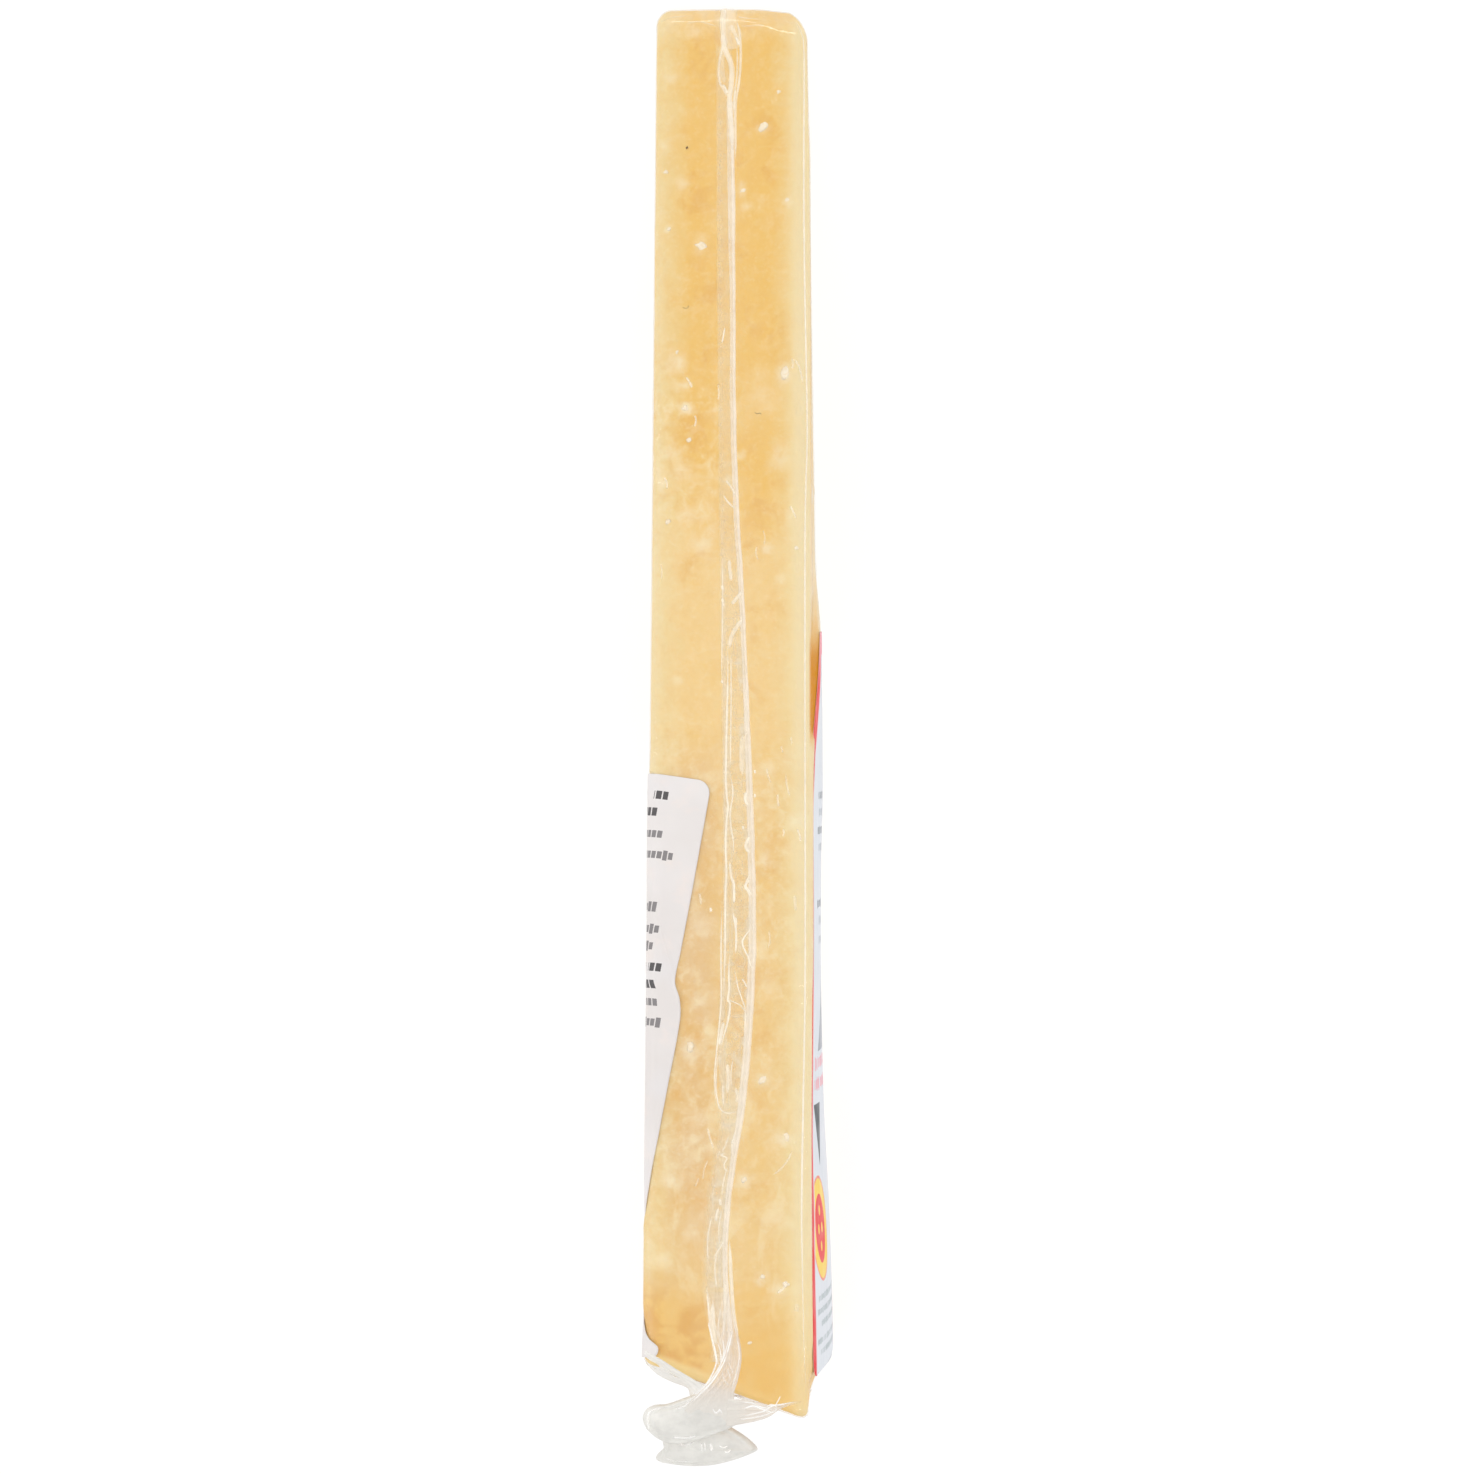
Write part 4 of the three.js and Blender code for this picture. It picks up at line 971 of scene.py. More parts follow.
def make_creases_and_painted_glints():
    k = Strands()
    # twisted top of the seal: a loop on each side of the wider one that runs on as the weld
    k.lie([(728.5, 8), (728.5, 18), (729.5, 28), (731.5, 38), (732, 50)], 17, 0.22, 0.16, 0.06, 14)
    k.lie([(724.5, 8), (723.2, 16), (722.8, 26), (723.6, 36), (726, 46)], 6.5, 0.36, 0.24, 0.12, 14)
    k.lie([(722.5, 30), (723.6, 44), (726.5, 53), (730.5, 62), (732, 72), (731.5, 84), (729.8, 98), (730, 112), (731.5, 130), (732.5, 152)], 6.0, 0.50, 0.34, 0.14, 12)
    k.lie([(737, 22), (739.6, 32), (740.6, 44), (740.8, 58), (740.2, 72), (738.6, 86), (736.2, 100), (735.4, 116), (735.6, 138), (735.8, 160)], 3.0, 0.44, 0.36, 0.12, 10)
    k.lie([(736.5, 44), (737.6, 60), (736.8, 78), (734.6, 92), (733.6, 104), (734.5, 118)], 2.2, 0.34, 0.36, 0.10)
    k.lie([(724, 42), (721.6, 52), (719.3, 64), (718.8, 75), (720.4, 84), (724, 90), (727.6, 97)], 3.0, 0.34, 0.3, 0.12, 10)
    k.lie([(723, 50), (721.8, 62), (722.4, 74), (724.5, 84)], 6.0, 0.14, 0.24, 0.08)
    k.lie([(723.2, 85), (725.8, 89.5), (728, 94)], 2.4, 0.62, 0.44, 0.12)
    k.lie([(731, 24), (733.5, 31), (736.4, 37), (738.5, 42)], 4.5, 0.28, 0.36, 0.12)
    k.lie([(736, 38), (737.8, 41.5), (738.8, 46)], 3.0, 0.80, 0.46, 0.12)
    k.lie([(735.8, 90), (734.6, 100), (734.6, 112)], 1.8, 0.55, 0.48, 0.10)
    # film drawn from the seal over the tip's rounding
    k.lie([(737, 17.5), (742, 18), (750, 19), (762, 20)], 1.8, 0.20, 0.18, 0.08)
    k.lie([(741, 26.5), (752, 26), (764, 25)], 1.6, 0.15, 0.18, 0.08)
    k.lie([(718, 27), (708, 24), (697, 22), (686, 24)], 1.5, 0.2, 0.18, 0.08)
    k.lie([(661, 22), (672, 18), (690, 16)], 1.2, 0.13, 0.16, 0.06)
    # a milky strand along the right edge, where the film is drawn taut: a painted highlight standing for the film's
    # bright line on the rounded edge, clearer in some stretches than others
    painted_highlight_line = through([(795, 22), (800, 32), (802.5, 46), (803, 100), (803, 200), (804, 300), (805.5, 380), (806, 440), (804.5, 500), (804, 560), (804, 700), (804.3, 900),
                     (804, 1000), (802.5, 1100), (801, 1200), (801.5, 1260), (803, 1340), (805, 1405)], 260)
    pts = np.array([seen_on_cut(px, py, 0.1) for px, py in painted_highlight_line])
    at = pts.copy()
    for _ in range(5):      # on the flat side's leaning edge
        base = on_cut(at[:, 0], at[:, 1], np.full(len(at), 0.18))
        at[:, 0] = pts[:, 0] - lean(base)[:, 0]
    base = base + lean(base)
    strong = 0.84 + 0.14 * noise(np.stack([pts[:, 1], 0 * pts[:, 1], 0 * pts[:, 1]], -1), (15, 1, 1), 131)
    k.tube(base, normal_at(base), 0.34, 0.12, np.clip(strong, 0.2, 0.95))
    # short painted glints: milky strands standing for highlights where the film is pinched
    painted_glints = [([(686, 377), (690, 383), (692, 388)], 1.6, 0.75), ([(695, 415), (696, 421), (694.5, 427)], 1.4, 0.7), ([(664, 477), (667, 483), (667, 489)], 1.3, 0.7),
             ([(794, 359), (799, 368), (802, 383)], 1.6, 0.6), ([(792, 358), (793, 364), (792, 369)], 1.6, 0.45), ([(790, 506), (793, 511), (796, 519)], 1.5, 0.5),
             ([(725, 328), (723.5, 337), (722, 344)], 1.6, 0.6), ([(718, 384), (719, 392), (718, 401)], 1.4, 0.5), ([(726, 481), (731, 487), (736, 496)], 2.2, 0.4),
             ([(723.6, 496), (728.5, 503), (735, 509)], 2.0, 0.45), ([(777.7, 794), (778, 801), (779, 807)], 1.8, 0.5), ([(796.7, 829), (799, 835), (800, 842)], 1.8, 0.5),
             ([(699, 893), (700.5, 899), (701, 905)], 1.6, 0.45), ([(783, 829), (784, 833), (783, 837)], 1.5, 0.45), ([(746.5, 792), (745.5, 800), (748.5, 806)], 3.0, 0.72),
             ([(750, 836), (746, 846), (749, 853)], 3.0, 0.72), ([(750, 879), (746, 886), (749, 891), (752, 896)], 2.2, 0.78), ([(734.8, 882), (734.2, 893), (734.8, 903)], 1.8, 0.8),
             ([(736, 917), (736.4, 924), (736, 930)], 1.8, 0.75), ([(794.5, 895), (795, 903), (795.6, 911)], 2.2, 0.4), ([(792, 1151), (788, 1160), (781, 1169), (773, 1175)], 1.6, 0.42),
             ([(787, 1281), (784, 1288), (777, 1293.5)], 2.0, 0.6), ([(797, 1304), (796, 1312)], 3.0, 0.22), ([(707.6, 1128), (710, 1138), (713.7, 1149)], 1.5, 0.6),
             ([(661, 563), (662, 572), (661.5, 580)], 1.2, 0.35), ([(757, 546), (756, 553), (758, 560)], 1.4, 0.35), ([(763, 530), (765, 537), (764, 545)], 1.2, 0.35),
             ([(786, 775), (787, 786), (790, 797)], 1.5, 0.35), ([(767, 768), (768, 776), (771, 783)], 1.5, 0.35), ([(791, 737), (792, 745)], 1.4, 0.35), ([(781, 746), (783, 753)], 1.4, 0.35),
             ([(769, 930), (770, 940), (768, 949)], 1.4, 0.3), ([(708, 1160), (704, 1170), (703, 1180)], 1.4, 0.35), ([(699, 1178), (695, 1187)], 1.4, 0.35),
             ([(716, 1182), (713, 1194), (713, 1206)], 1.6, 0.35), ([(720, 1150), (717, 1160)], 1.5, 0.4), ([(729, 1136), (725, 1147), (722, 1152)], 1.6, 0.4)]
    for pts, wide, cloudy in painted_glints:
        inside = 721 < pts[0][0] < 753 and pts[0][1] > 300
        k.lie(pts, wide * (1.15 if inside else 1.5), cloudy * (1.0 if inside else 0.55), 0.50 if inside else 0.16, 0.09)
    # the strip's root line and the folds beside it, and the small pleats against the weld; the brightest of these milky
    # strands are painted glints, standing for highlights on the folds
    for pts, wide, cloudy in [([(727.4, 636), (728.0, 660), (727.8, 690), (727.0, 720), (726.4, 750), (726.0, 780), (727.2, 798), (728.2, 808), (726.8, 822), (725.8, 845), (726.6, 872), (725.6, 895), (725.4, 925), (725.3, 950), (724.2, 985), (723.0, 1003)], 2.0, 0.74),
                              ([(731.0, 652), (731.3, 680), (731.2, 715), (730.8, 748), (731.0, 768)], 1.3, 0.55), ([(730.4, 774), (732.4, 786), (733.0, 796), (731.4, 806), (730.2, 816), (731.6, 830), (733.6, 843), (733.4, 858)], 1.5, 0.62),
                              ([(722.6, 558), (722.9, 600), (722.3, 640), (721.7, 682)], 1.1, 0.50), ([(722.0, 905), (721.4, 935), (721.2, 965), (721.4, 1000), (719.6, 1024), (716.4, 1056), (714.6, 1080), (716.0, 1108)], 1.6, 0.60),
                              ([(730.2, 952), (729.0, 972), (729.4, 990), (728.0, 1000), (730.2, 1005), (728.6, 1019), (724.6, 1034), (721.6, 1047)], 2.0, 0.74), ([(724.0, 1022), (721.4, 1034), (719.4, 1046)], 3.4, 0.60),
                              ([(729.6, 862), (731.0, 874), (733.0, 884)], 2.4, 0.50), ([(733.2, 878), (734.3, 892), (734.2, 904)], 2.4, 0.80), ([(733.0, 912), (735.6, 926), (736.4, 938), (736.0, 954)], 2.2, 0.80),
                              ([(734.6, 968), (737.8, 986), (741.6, 998), (745.0, 1008), (745.2, 1022), (744.2, 1040)], 1.5, 0.58), ([(728.0, 1000), (735.0, 1003), (741.0, 1006), (745.0, 1012)], 1.2, 0.50),
                              ([(754.0, 926), (747.0, 934), (742.6, 942), (744.6, 950), (748.2, 957), (750.6, 965), (752.8, 970)], 1.8, 0.72), ([(741.8, 979), (744.8, 983), (747.0, 988)], 1.7, 0.62),
                              ([(751.6, 872), (746.6, 882), (745.0, 888), (748.2, 892), (750.6, 899)], 1.6, 0.70),
                              ([(742.4, 592), (736.6, 599), (731.8, 605)], 3.6, 0.42), ([(742.6, 619), (736.6, 628), (731.6, 637), (729.2, 650)], 4.2, 0.42), ([(729.6, 560), (730.0, 570), (731.6, 582)], 3.4, 0.46),
                              ([(743.6, 735), (742.0, 752), (742.6, 776)], 5.0, 0.34), ([(746.0, 690), (746.4, 712), (747.0, 736)], 2.2, 0.40), ([(735.4, 1088), (737.8, 1096), (736.6, 1103)], 3.0, 0.40),
                              ([(727.2, 1064), (728.4, 1076), (727.8, 1094)], 3.6, 0.44), ([(727, 1153), (721.6, 1155.4), (727.0, 1158.6), (724.4, 1164.6), (725.6, 1170.2), (730.0, 1172)], 1.6, 0.66),
                              ([(734.6, 1138), (731.8, 1143.4), (734.6, 1142.6)], 1.6, 0.50), ([(720.0, 1199), (720.8, 1206)], 2.6, 0.60), ([(718.6, 1208), (716.6, 1216), (716.0, 1222)], 2.6, 0.60),
                              ([(724.6, 1241), (718.8, 1250), (714.2, 1258)], 1.6, 0.50), ([(712.6, 1304), (713.2, 1324), (716.0, 1346)], 4.6, 0.52), ([(724.2, 1284), (724.8, 1320), (722.0, 1340)], 2.2, 0.55),
                              ([(729.0, 1296), (729.2, 1320), (731.0, 1346)], 1.4, 0.62), ([(729.6, 1240), (731.4, 1280), (734.0, 1316), (738.6, 1340)], 3.6, 0.58)]:
        k.lie(pts, wide * 1.15, cloudy, 0.50, 0.10)
    # small painted glints: milky dots standing for highlights on the strip's folds
    for px, py, size in [(722.6, 588, 2.4), (722.8, 601, 2.2), (723.4, 605, 1.8), (722.6, 622, 1.8), (722.2, 682, 1.8), (743.2, 828, 1.8), (755.0, 772, 1.8), (755.0, 796, 2.0), (711.0, 910, 2.2)]:
        k.lie([(px - 0.3, py - size), (px, py), (px + 0.3, py + size)], size * 1.2, 0.75, 0.36, 0.12)
    # inner lines of the puckered strip, where it narrows towards the gathered end
    for pts, wide, cloudy in [([(723, 1084), (723.2, 1095), (723.8, 1106)], 1.8, 0.6), ([(718.4, 1050), (716, 1082), (717.5, 1100), (721, 1110), (728, 1113.5), (737, 1112)], 2.0, 0.55),
                              ([(733, 1060), (731, 1075), (732, 1088)], 1.6, 0.5), ([(737, 1128), (733, 1141), (732, 1154)], 1.8, 0.55), ([(728, 1166), (724, 1180), (722, 1196)], 1.6, 0.5),
                              ([(722, 1210), (719, 1228), (720, 1246)], 1.6, 0.45), ([(712, 1216), (708, 1238), (708, 1262)], 1.8, 0.4), ([(717, 1252), (715, 1270), (717, 1288)], 1.8, 0.5),
                              ([(707, 1288), (709, 1312), (711.5, 1335), (716, 1357), (719.5, 1368)], 2.4, 0.55), ([(713, 1296), (714, 1318), (718.5, 1337), (723.5, 1352)], 2.0, 0.5),
                              ([(723, 1298), (719.5, 1318), (718.5, 1330), (722, 1344), (725, 1354)], 2.0, 0.5), ([(726, 1280), (725.5, 1306), (723.5, 1330), (721, 1341)], 2.6, 0.6)]:
        k.lie(pts, wide, cloudy, 0.40, 0.14)
    return k.finish("film_creases_and_painted_glints", lin(246, 235, 214), rough=0.12, bump=0.06, vary=0.08, base_shine=0.02, graze=0.2)


def make_specks():
    """A dark crumb and two short fibres caught under the film."""
    verts, faces = [], []
    c = seen_on_cut(687, 147.5, 0.10)
    v, f = blob(c, normal_at(c[None])[0], 0.33, 77)
    verts.append(v)
    faces += f
    k = Strands()
    k.lie([(754.6, 412.4), (757.4, 414.0), (760.0, 413.2), (761.4, 415.0)], 0.45, 1.0, 0.16, 0.05)
    k.lie([(682.4, 307.0), (685.6, 308.8), (688.4, 307.0), (688.2, 305.0)], 0.28, 1.0, 0.16, 0.04)
    base = len(v)
    verts += k.verts
    faces += [[i + base for i in f] for f in k.faces]
    ob = new_object("specks", place(np.concatenate(verts)), faces)
    g = Graph("speck")
    n = g.noise(3000, 2.0, 0.5)
    p = g.principled(Base_Color=g.mix(n, lin(96, 76, 52), lin(130, 102, 68)), Roughness=g.map(n, 0.3, 0.7, 0.5, 0.7))
    ob.data.materials.append(g.end(p.outputs[0]))
    return ride(ob, "cheese")


# ------------------------------------------------------------------ the gathered end
def tail_sheet(name, left, right, rows, cols, dome, ridges, colour, milk, seed, thick=0.14, soft=0.10, fading=0.0, whiten=0.0, rising=0.0, ending=0.0):
    """A film sheet between two edges (px, py, w); ridges (s0, s1, half width in s, height, cloudiness) run along it."""
    a = np.array([seen(*p) for p in through(left, rows)])
    b = np.array([seen(*p) for p in through(right, rows)])
    s = np.linspace(0, 1, cols)[None, :] + np.zeros((rows, 1))
    t = np.linspace(0, 1, rows)[:, None] + np.zeros((1, cols))
    base = a[:, None] * (1 - s[..., None]) + b[:, None] * s[..., None]
    up = dome * np.sin(math.pi * s) ** 0.7 + soft * fbm(base, 2.4, seed, 2) * np.sin(math.pi * s) ** 0.5
    m = milk + 0.10 * fbm(base, 2.0, seed + 5, 2)
    for s0, s1, half, height, cloudy in ridges:
        at = lerp(s0, s1, t) + 0.03 * noise(base, 5.0, seed + 11)
        k = np.exp(-(((s - at) / half) ** 2))
        up = up + height * k
        m = m + cloudy * k
    n = np.array([0.0, 0.1, 1.0])
    top = base + n * up[..., None]
    ob = closed_sheet(name, top, top - n * thick)
    far = np.maximum(smooth(0.45, 0.95, t) * fading, (1 - smooth(0.10, 0.42, t)) * whiten)
    m = m + (0.92 - milk) * far
    if rising:      # comes up out of the strip, softly and from its right side
        m = m * lerp(0.20, 1.0, smooth(0.0, rising, t)) * lerp(smooth(0.0, 0.45, s), 1.0, smooth(rising * 0.8, rising * 1.9, t))
    m = m * (1 - ending * smooth(0.72, 1.0, t))
    m = np.clip(m, 0, 0.95).ravel()
    put_attr(ob, "milk", np.concatenate([m, m]))
    put_attr(ob, "tone", np.concatenate([far.ravel()] * 2))
    ob.data.materials.append(film_material(name, colour, rough=0.14, bump=0.04, vary=0.04, milk_rough=0.36, base_shine=0.02, graze=0.2, end_col=lin(233, 228, 220)))
    return ride(clear(ob), "film"), top


def pillow(name, outline, rows, cols, dome, colour, milk, seed, dents=(), soft=0.12):
    """A closed, smooth film pillow inside an outline of (px, py, w)."""
    q = np.array(outline, float)
    k = len(q)
    t = np.linspace(0, k, cols, endpoint=False)
    i, f = t.astype(int), (t - t.astype(int))[:, None]
    p0, p1, p2, p3 = q[(i - 1) % k], q[i % k], q[(i + 1) % k], q[(i + 2) % k]
    ring = 0.5 * (2 * p1 + (p2 - p0) * f + (2 * p0 - 5 * p1 + 4 * p2 - p3) * f**2 + (3 * p1 - p0 - 3 * p2 + p3) * f**3)
    rim = np.array([seen(*v) for v in ring])
    mid = rim.mean(0)
    rr = np.linspace(0, 1, rows)[:, None]
    flat = mid + (rim - mid)[None] * rr[..., None]
    roll = (1 - rr**2.8) ** 0.5 * dome
    up = roll + 0.10 * np.exp(-(((rr - 0.90) / 0.05) ** 2)) - 0.10 * np.exp(-(((rr - 0.80) / 0.06) ** 2))
    up = up + soft * fbm(flat, (4.0, 3.0, 4.0), seed, 2) * (1 - rr**6)
    m = milk + 0.06 * fbm(flat, 2.5, seed + 5, 2) + 0.05 * np.exp(-(((rr - 0.9) / 0.05) ** 2))
    for px, py, rx, ry, height, cloudy in dents:
        c = seen(px, py, mid[2])
        d = ((flat[..., 0] - c[0]) * PX_MM / rx) ** 2 + ((flat[..., 1] - c[1]) * PX_MM / ry) ** 2
        up = up + height * np.exp(-d)
        m = m + cloudy * np.exp(-d)
    n = np.array([0.0, 0.1, 1.0])
    top, bottom = flat + n * up[..., None], flat - n * (roll * 0.7)[..., None]
    count = rows * cols
    faces = grid_faces(rows, cols, wrap=True) + grid_faces(rows, cols, wrap=True, base=count, flip=True)
    ob = new_object(name, np.concatenate([place(top).reshape(-1, 3), place(bottom).reshape(-1, 3)]), faces)
    m = np.clip(m, 0, 0.97).ravel()
    put_attr(ob, "milk", np.concatenate([m, m]))
    tidy(ob, 2e-6)
    ob.data.materials.append(film_material(name, colour, rough=0.14, bump=0.03, vary=0.03, milk_rough=0.36, base_shine=0.02, graze=0.2))
    return ride(ob, "film"), top


def make_tail():
    grey = lin(235, 233, 227)
    heights = []

    def above(px, py, up):
        return (px, py, float(seen_on_cut(px, py)[2]) + up)

    # along the rind's short side, from the left edge to the neck
    heights.append(tail_sheet("tail_left", [(645, 1350, 31.2), (652, 1354.5, 31.9), (663, 1360.5, 32.0), (676, 1369, 31.6), (692, 1378.5, 32.0), (706, 1387, 32.4)],
                              [(644.4, 1357, 28.4), (649.4, 1367, 27.6), (659, 1375.5, 26.6), (672, 1382, 26.4), (687, 1388, 27.0), (690, 1397, 28.0)],
                              60, 20, 0.25, [(0.12, 0.12, 0.08, 0.12, 0.12), (0.5, 0.3, 0.06, 0.08, 0.06)], lin(238, 235, 229), 0.80, 201)[1])
    # the seal strip's foot, sweeping over the edge into the upper lobe
    heights.append(tail_sheet("tail_neck", [above(705, 1292, 0.35), above(710, 1320, 0.50), above(714, 1344, 0.90), (715.5, 1363, 32.7), (707.5, 1382, 33.1), (697, 1394, 32.2), (688, 1404, 30.4), (682, 1416, 28.6)],
                              [above(733, 1292, 0.40), above(735, 1320, 0.55), above(740.5, 1344, 0.90), (741.5, 1361, 32.5), (738, 1380, 32.8), (734, 1394, 32.4), (736, 1408, 30.8), (740, 1422, 28.6)],
                              110, 44, 0.30, [(0.10, 0.10, 0.05, 0.14, 0.20), (0.62, 0.12, 0.05, 0.20, 0.26), (0.80, 0.32, 0.05, 0.14, 0.18), (0.90, 0.55, 0.05, 0.10, 0.14), (0.97, 0.97, 0.04, 0.12, 0.22), (0.94, 0.75, 0.04, 0.08, 0.10)],
                              lin(226, 211, 195), 0.44, 211, fading=1.0, rising=0.40)[1])
    # drawn in from the right over the rind's edge
    heights.append(tail_sheet("tail_right", [(728, 1399, 32.0), (742, 1400, 32.1), (757, 1402, 32.2), (770, 1405, 32.2), (784, 1404, 32.4), (801, 1400.5, 32.6)],
                              [(726, 1427, 28.0), (742, 1424, 28.4), (757, 1421, 29.2), (769, 1417, 30.2), (782, 1408.5, 31.8), (802, 1402, 32.5)],
                              80, 30, 0.25, [(0.05, 0.2, 0.05, 0.16, 0.3), (0.35, 0.45, 0.05, 0.20, 0.35), (0.62, 0.55, 0.05, 0.18, 0.3), (0.85, 0.8, 0.06, 0.16, 0.3)],
                              lin(229, 217, 203), 0.50, 221, whiten=0.85, ending=1.0)[1])
    upper = pillow("tail_upper_lobe", [(700, 1393.5, 29.5), (688, 1396.6, 28.8), (677, 1400.6, 28), (666, 1404, 27.4), (655, 1404.8, 27), (647, 1408.5, 26.8), (643, 1415, 26.6), (643.4, 1422, 26.6),
                                       (647, 1429.5, 26.6), (654, 1436, 26.4), (661, 1440.5, 26), (670, 1443.5, 25.8), (686, 1443, 26), (704, 1438, 26.4), (720, 1432, 26.8), (734, 1426, 27.4),
                                       (741, 1416, 28.4), (738, 1404, 29.6), (722, 1396, 30.4)], 30, 120, 1.3, grey, 0.90, 231,
                   dents=((700, 1415, 22, 12, 0.25, -0.06), (741, 1414, 10, 24, 0.0, -0.75)), soft=0.07)[1]
    lower = pillow("tail_lower_lobe", [(664, 1441, 24.2), (663.5, 1448, 23.8), (658, 1453.5, 23.2), (655.8, 1458.3, 22.8), (660, 1461.8, 22.6), (669, 1463.8, 22.6), (683, 1465.6, 22.6), (698, 1466.2, 22.6),
                                       (715, 1464.7, 22.8), (732, 1460.6, 23), (746, 1455.8, 23.2), (756.6, 1450.8, 23.4), (757, 1447.2, 23.4), (752.6, 1442.2, 23.6), (745.5, 1436.2, 24), (737, 1430.6, 24.4),
                                       (727, 1425.6, 24.8), (712, 1427, 25), (695, 1433, 25), (679, 1438, 24.8)], 30, 130, 1.15, grey, 0.90, 241,
                   dents=((735, 1446, 7, 9, -0.22, -0.05), (690, 1458, 22, 5, -0.12, 0.0)), soft=0.08)[1]
    grids = {"upper": upper, "lower": lower, "left": heights[0], "neck": heights[1], "right": heights[2]}

    k = Strands()

    def over(which, points, px_wide, cloudy=0.6, rise=0.05, thick=None):
        """A fold, or a painted glint, lying on one of the tail's parts, through places (px, py)."""
        grid = np.concatenate([grids[w].reshape(-1, 3) for w in which.split("+")])
        c = []
        for px, py in points:
            w = 29.0
            for _ in range(5):
                at = seen(px, py, w)
                near = np.argsort(((grid[:, :2] - at[:2]) ** 2).sum(1))[:6]
                w = float(grid[near, 2].max())
            c.append(seen(px, py, w + rise))
        c = through(np.array(c), max(10, 8 * len(c)))
        k.tube(c, np.broadcast_to(np.array([0, 0, 1.0]), c.shape), px_wide / PX_MM, thick or px_wide / PX_MM * 0.22, cloudy)

    # twin folds sweeping down the neck
    over("neck", [(733, 1328), (729, 1346), (723.5, 1363), (712.5, 1381), (700, 1394), (690, 1404)], 1.8, 0.62)
    over("neck", [(731, 1330), (726.8, 1347), (721, 1363.5), (709.8, 1381), (697.5, 1393), (688, 1403.5)], 1.4, 0.5)
    over("neck", [(736, 1334), (739, 1350), (738.5, 1364), (735, 1378), (731, 1391)], 1.4, 0.35)
    over("neck", [(712.5, 1340), (715.5, 1352), (716.0, 1364), (709.0, 1380), (698.5, 1392.5)], 1.8, 0.55)
    over("neck", [(716.5, 1340), (720.5, 1352), (720.0, 1366), (711.5, 1382), (700.0, 1396)], 1.4, 0.45)
    over("neck", [(722.5, 1338), (724.0, 1350), (722.0, 1362)], 1.4, 0.45)
    over("neck", [(708.0, 1322), (711.0, 1334), (714.5, 1348)], 1.8, 0.40)
    over("neck", [(728, 1362), (731, 1368), (733, 1374)], 1.2, 0.3)
    over("neck", [(727, 1368), (729, 1374), (731, 1380)], 1.2, 0.3)
    over("neck", [(722, 1372), (724, 1379), (729, 1386)], 1.2, 0.3)
    over("neck+upper", [(712, 1408), (716, 1413), (720, 1410), (722, 1414)], 1.6, 0.7)
    # the fan on the right
    over("right", [(741, 1402), (752, 1403), (763, 1407.5), (772, 1405.5), (782, 1404)], 1.5, 0.6)
    over("right", [(743, 1409), (753, 1406), (763, 1409.5), (771, 1412)], 1.8, 0.7)
    over("right", [(741, 1416.5), (753, 1414), (764, 1411), (772, 1406), (781, 1404.5), (797, 1401.5)], 1.6, 0.65)
    over("right", [(738, 1419.5), (752, 1418), (764, 1415.5), (772, 1412)], 1.4, 0.5)
    over("right", [(766, 1407), (770, 1412), (775, 1411), (776, 1406.5), (771, 1404.5), (766, 1407)], 1.2, 0.5)
    over("right", [(775, 1406), (778, 1401), (780.5, 1396)], 1.3, 0.5)
    # soft lines on the lobes, and painted glints: bright white strands standing for highlights on the lower lobe's
    # pleats
    over("upper", [(650, 1431), (647.5, 1422), (648.5, 1414), (654, 1409.5), (664, 1408.5)], 1.5, 0.55)
    over("upper", [(676, 1409), (684, 1406), (692, 1400)], 1.4, 0.4)
    over("upper", [(672, 1437), (686, 1438), (696, 1436)], 1.6, 0.4)
    over("lower", [(679, 1443.5), (686, 1445), (694, 1442)], 1.6, 0.45)
    over("lower", [(701, 1443), (702, 1447.5), (701, 1452)], 1.3, 0.9)
    over("lower", [(704.3, 1442.5), (705.3, 1446.5), (704.5, 1451.5)], 1.2, 0.8)
    over("lower", [(710, 1443.5), (711.5, 1447.5), (711, 1451)], 2.8, 0.95)
    over("lower", [(718.5, 1445.5), (723, 1447.5), (728, 1446)], 1.8, 0.9)
    over("lower", [(724, 1451.5), (728, 1452.3), (731, 1449)], 2.2, 0.95)
    over("lower", [(663, 1458), (676, 1461), (692, 1462)], 1.4, 0.25)
    k.finish("tail_folds_and_painted_glints", lin(255, 252, 247), rough=0.12, bump=0.05, vary=0.06, base_shine=0.02, graze=0.2)


# ------------------------------------------------------------------ the labels
def rounded_outline(corners, steps=14):
    pts = []
    n = len(corners)
    v = np.array([c[:2] for c in corners], float)
    for i in range(n):
        p, a, b = v[i], v[i - 1] - v[i], v[(i + 1) % n] - v[i]
        a, b = a / np.linalg.norm(a), b / np.linalg.norm(b)
        cut = corners[i][2] / math.tan(math.acos(float(np.clip(a @ b, -1, 1))) / 2)
        s, e = p + a * cut, p + b * cut
        for t in np.linspace(0, 1, steps):
            pts.append(s * (1 - t) ** 2 + 2 * p * t * (1 - t) + e * t**2)
    return np.array(pts)


def outline_distance(pts, a, b):
    """Distance from points (a, b) to a closed outline."""
    p = np.stack([a, b], -1)[..., None, :]
    s, e = pts, np.roll(pts, -1, axis=0)
    d = e - s
    ln = np.maximum((d**2).sum(-1), 1e-9)
    t = np.clip(((p - s) * d).sum(-1) / ln, 0, 1)
    return np.sqrt((((s + d * t[..., None]) - p) ** 2).sum(-1)).min(-1)


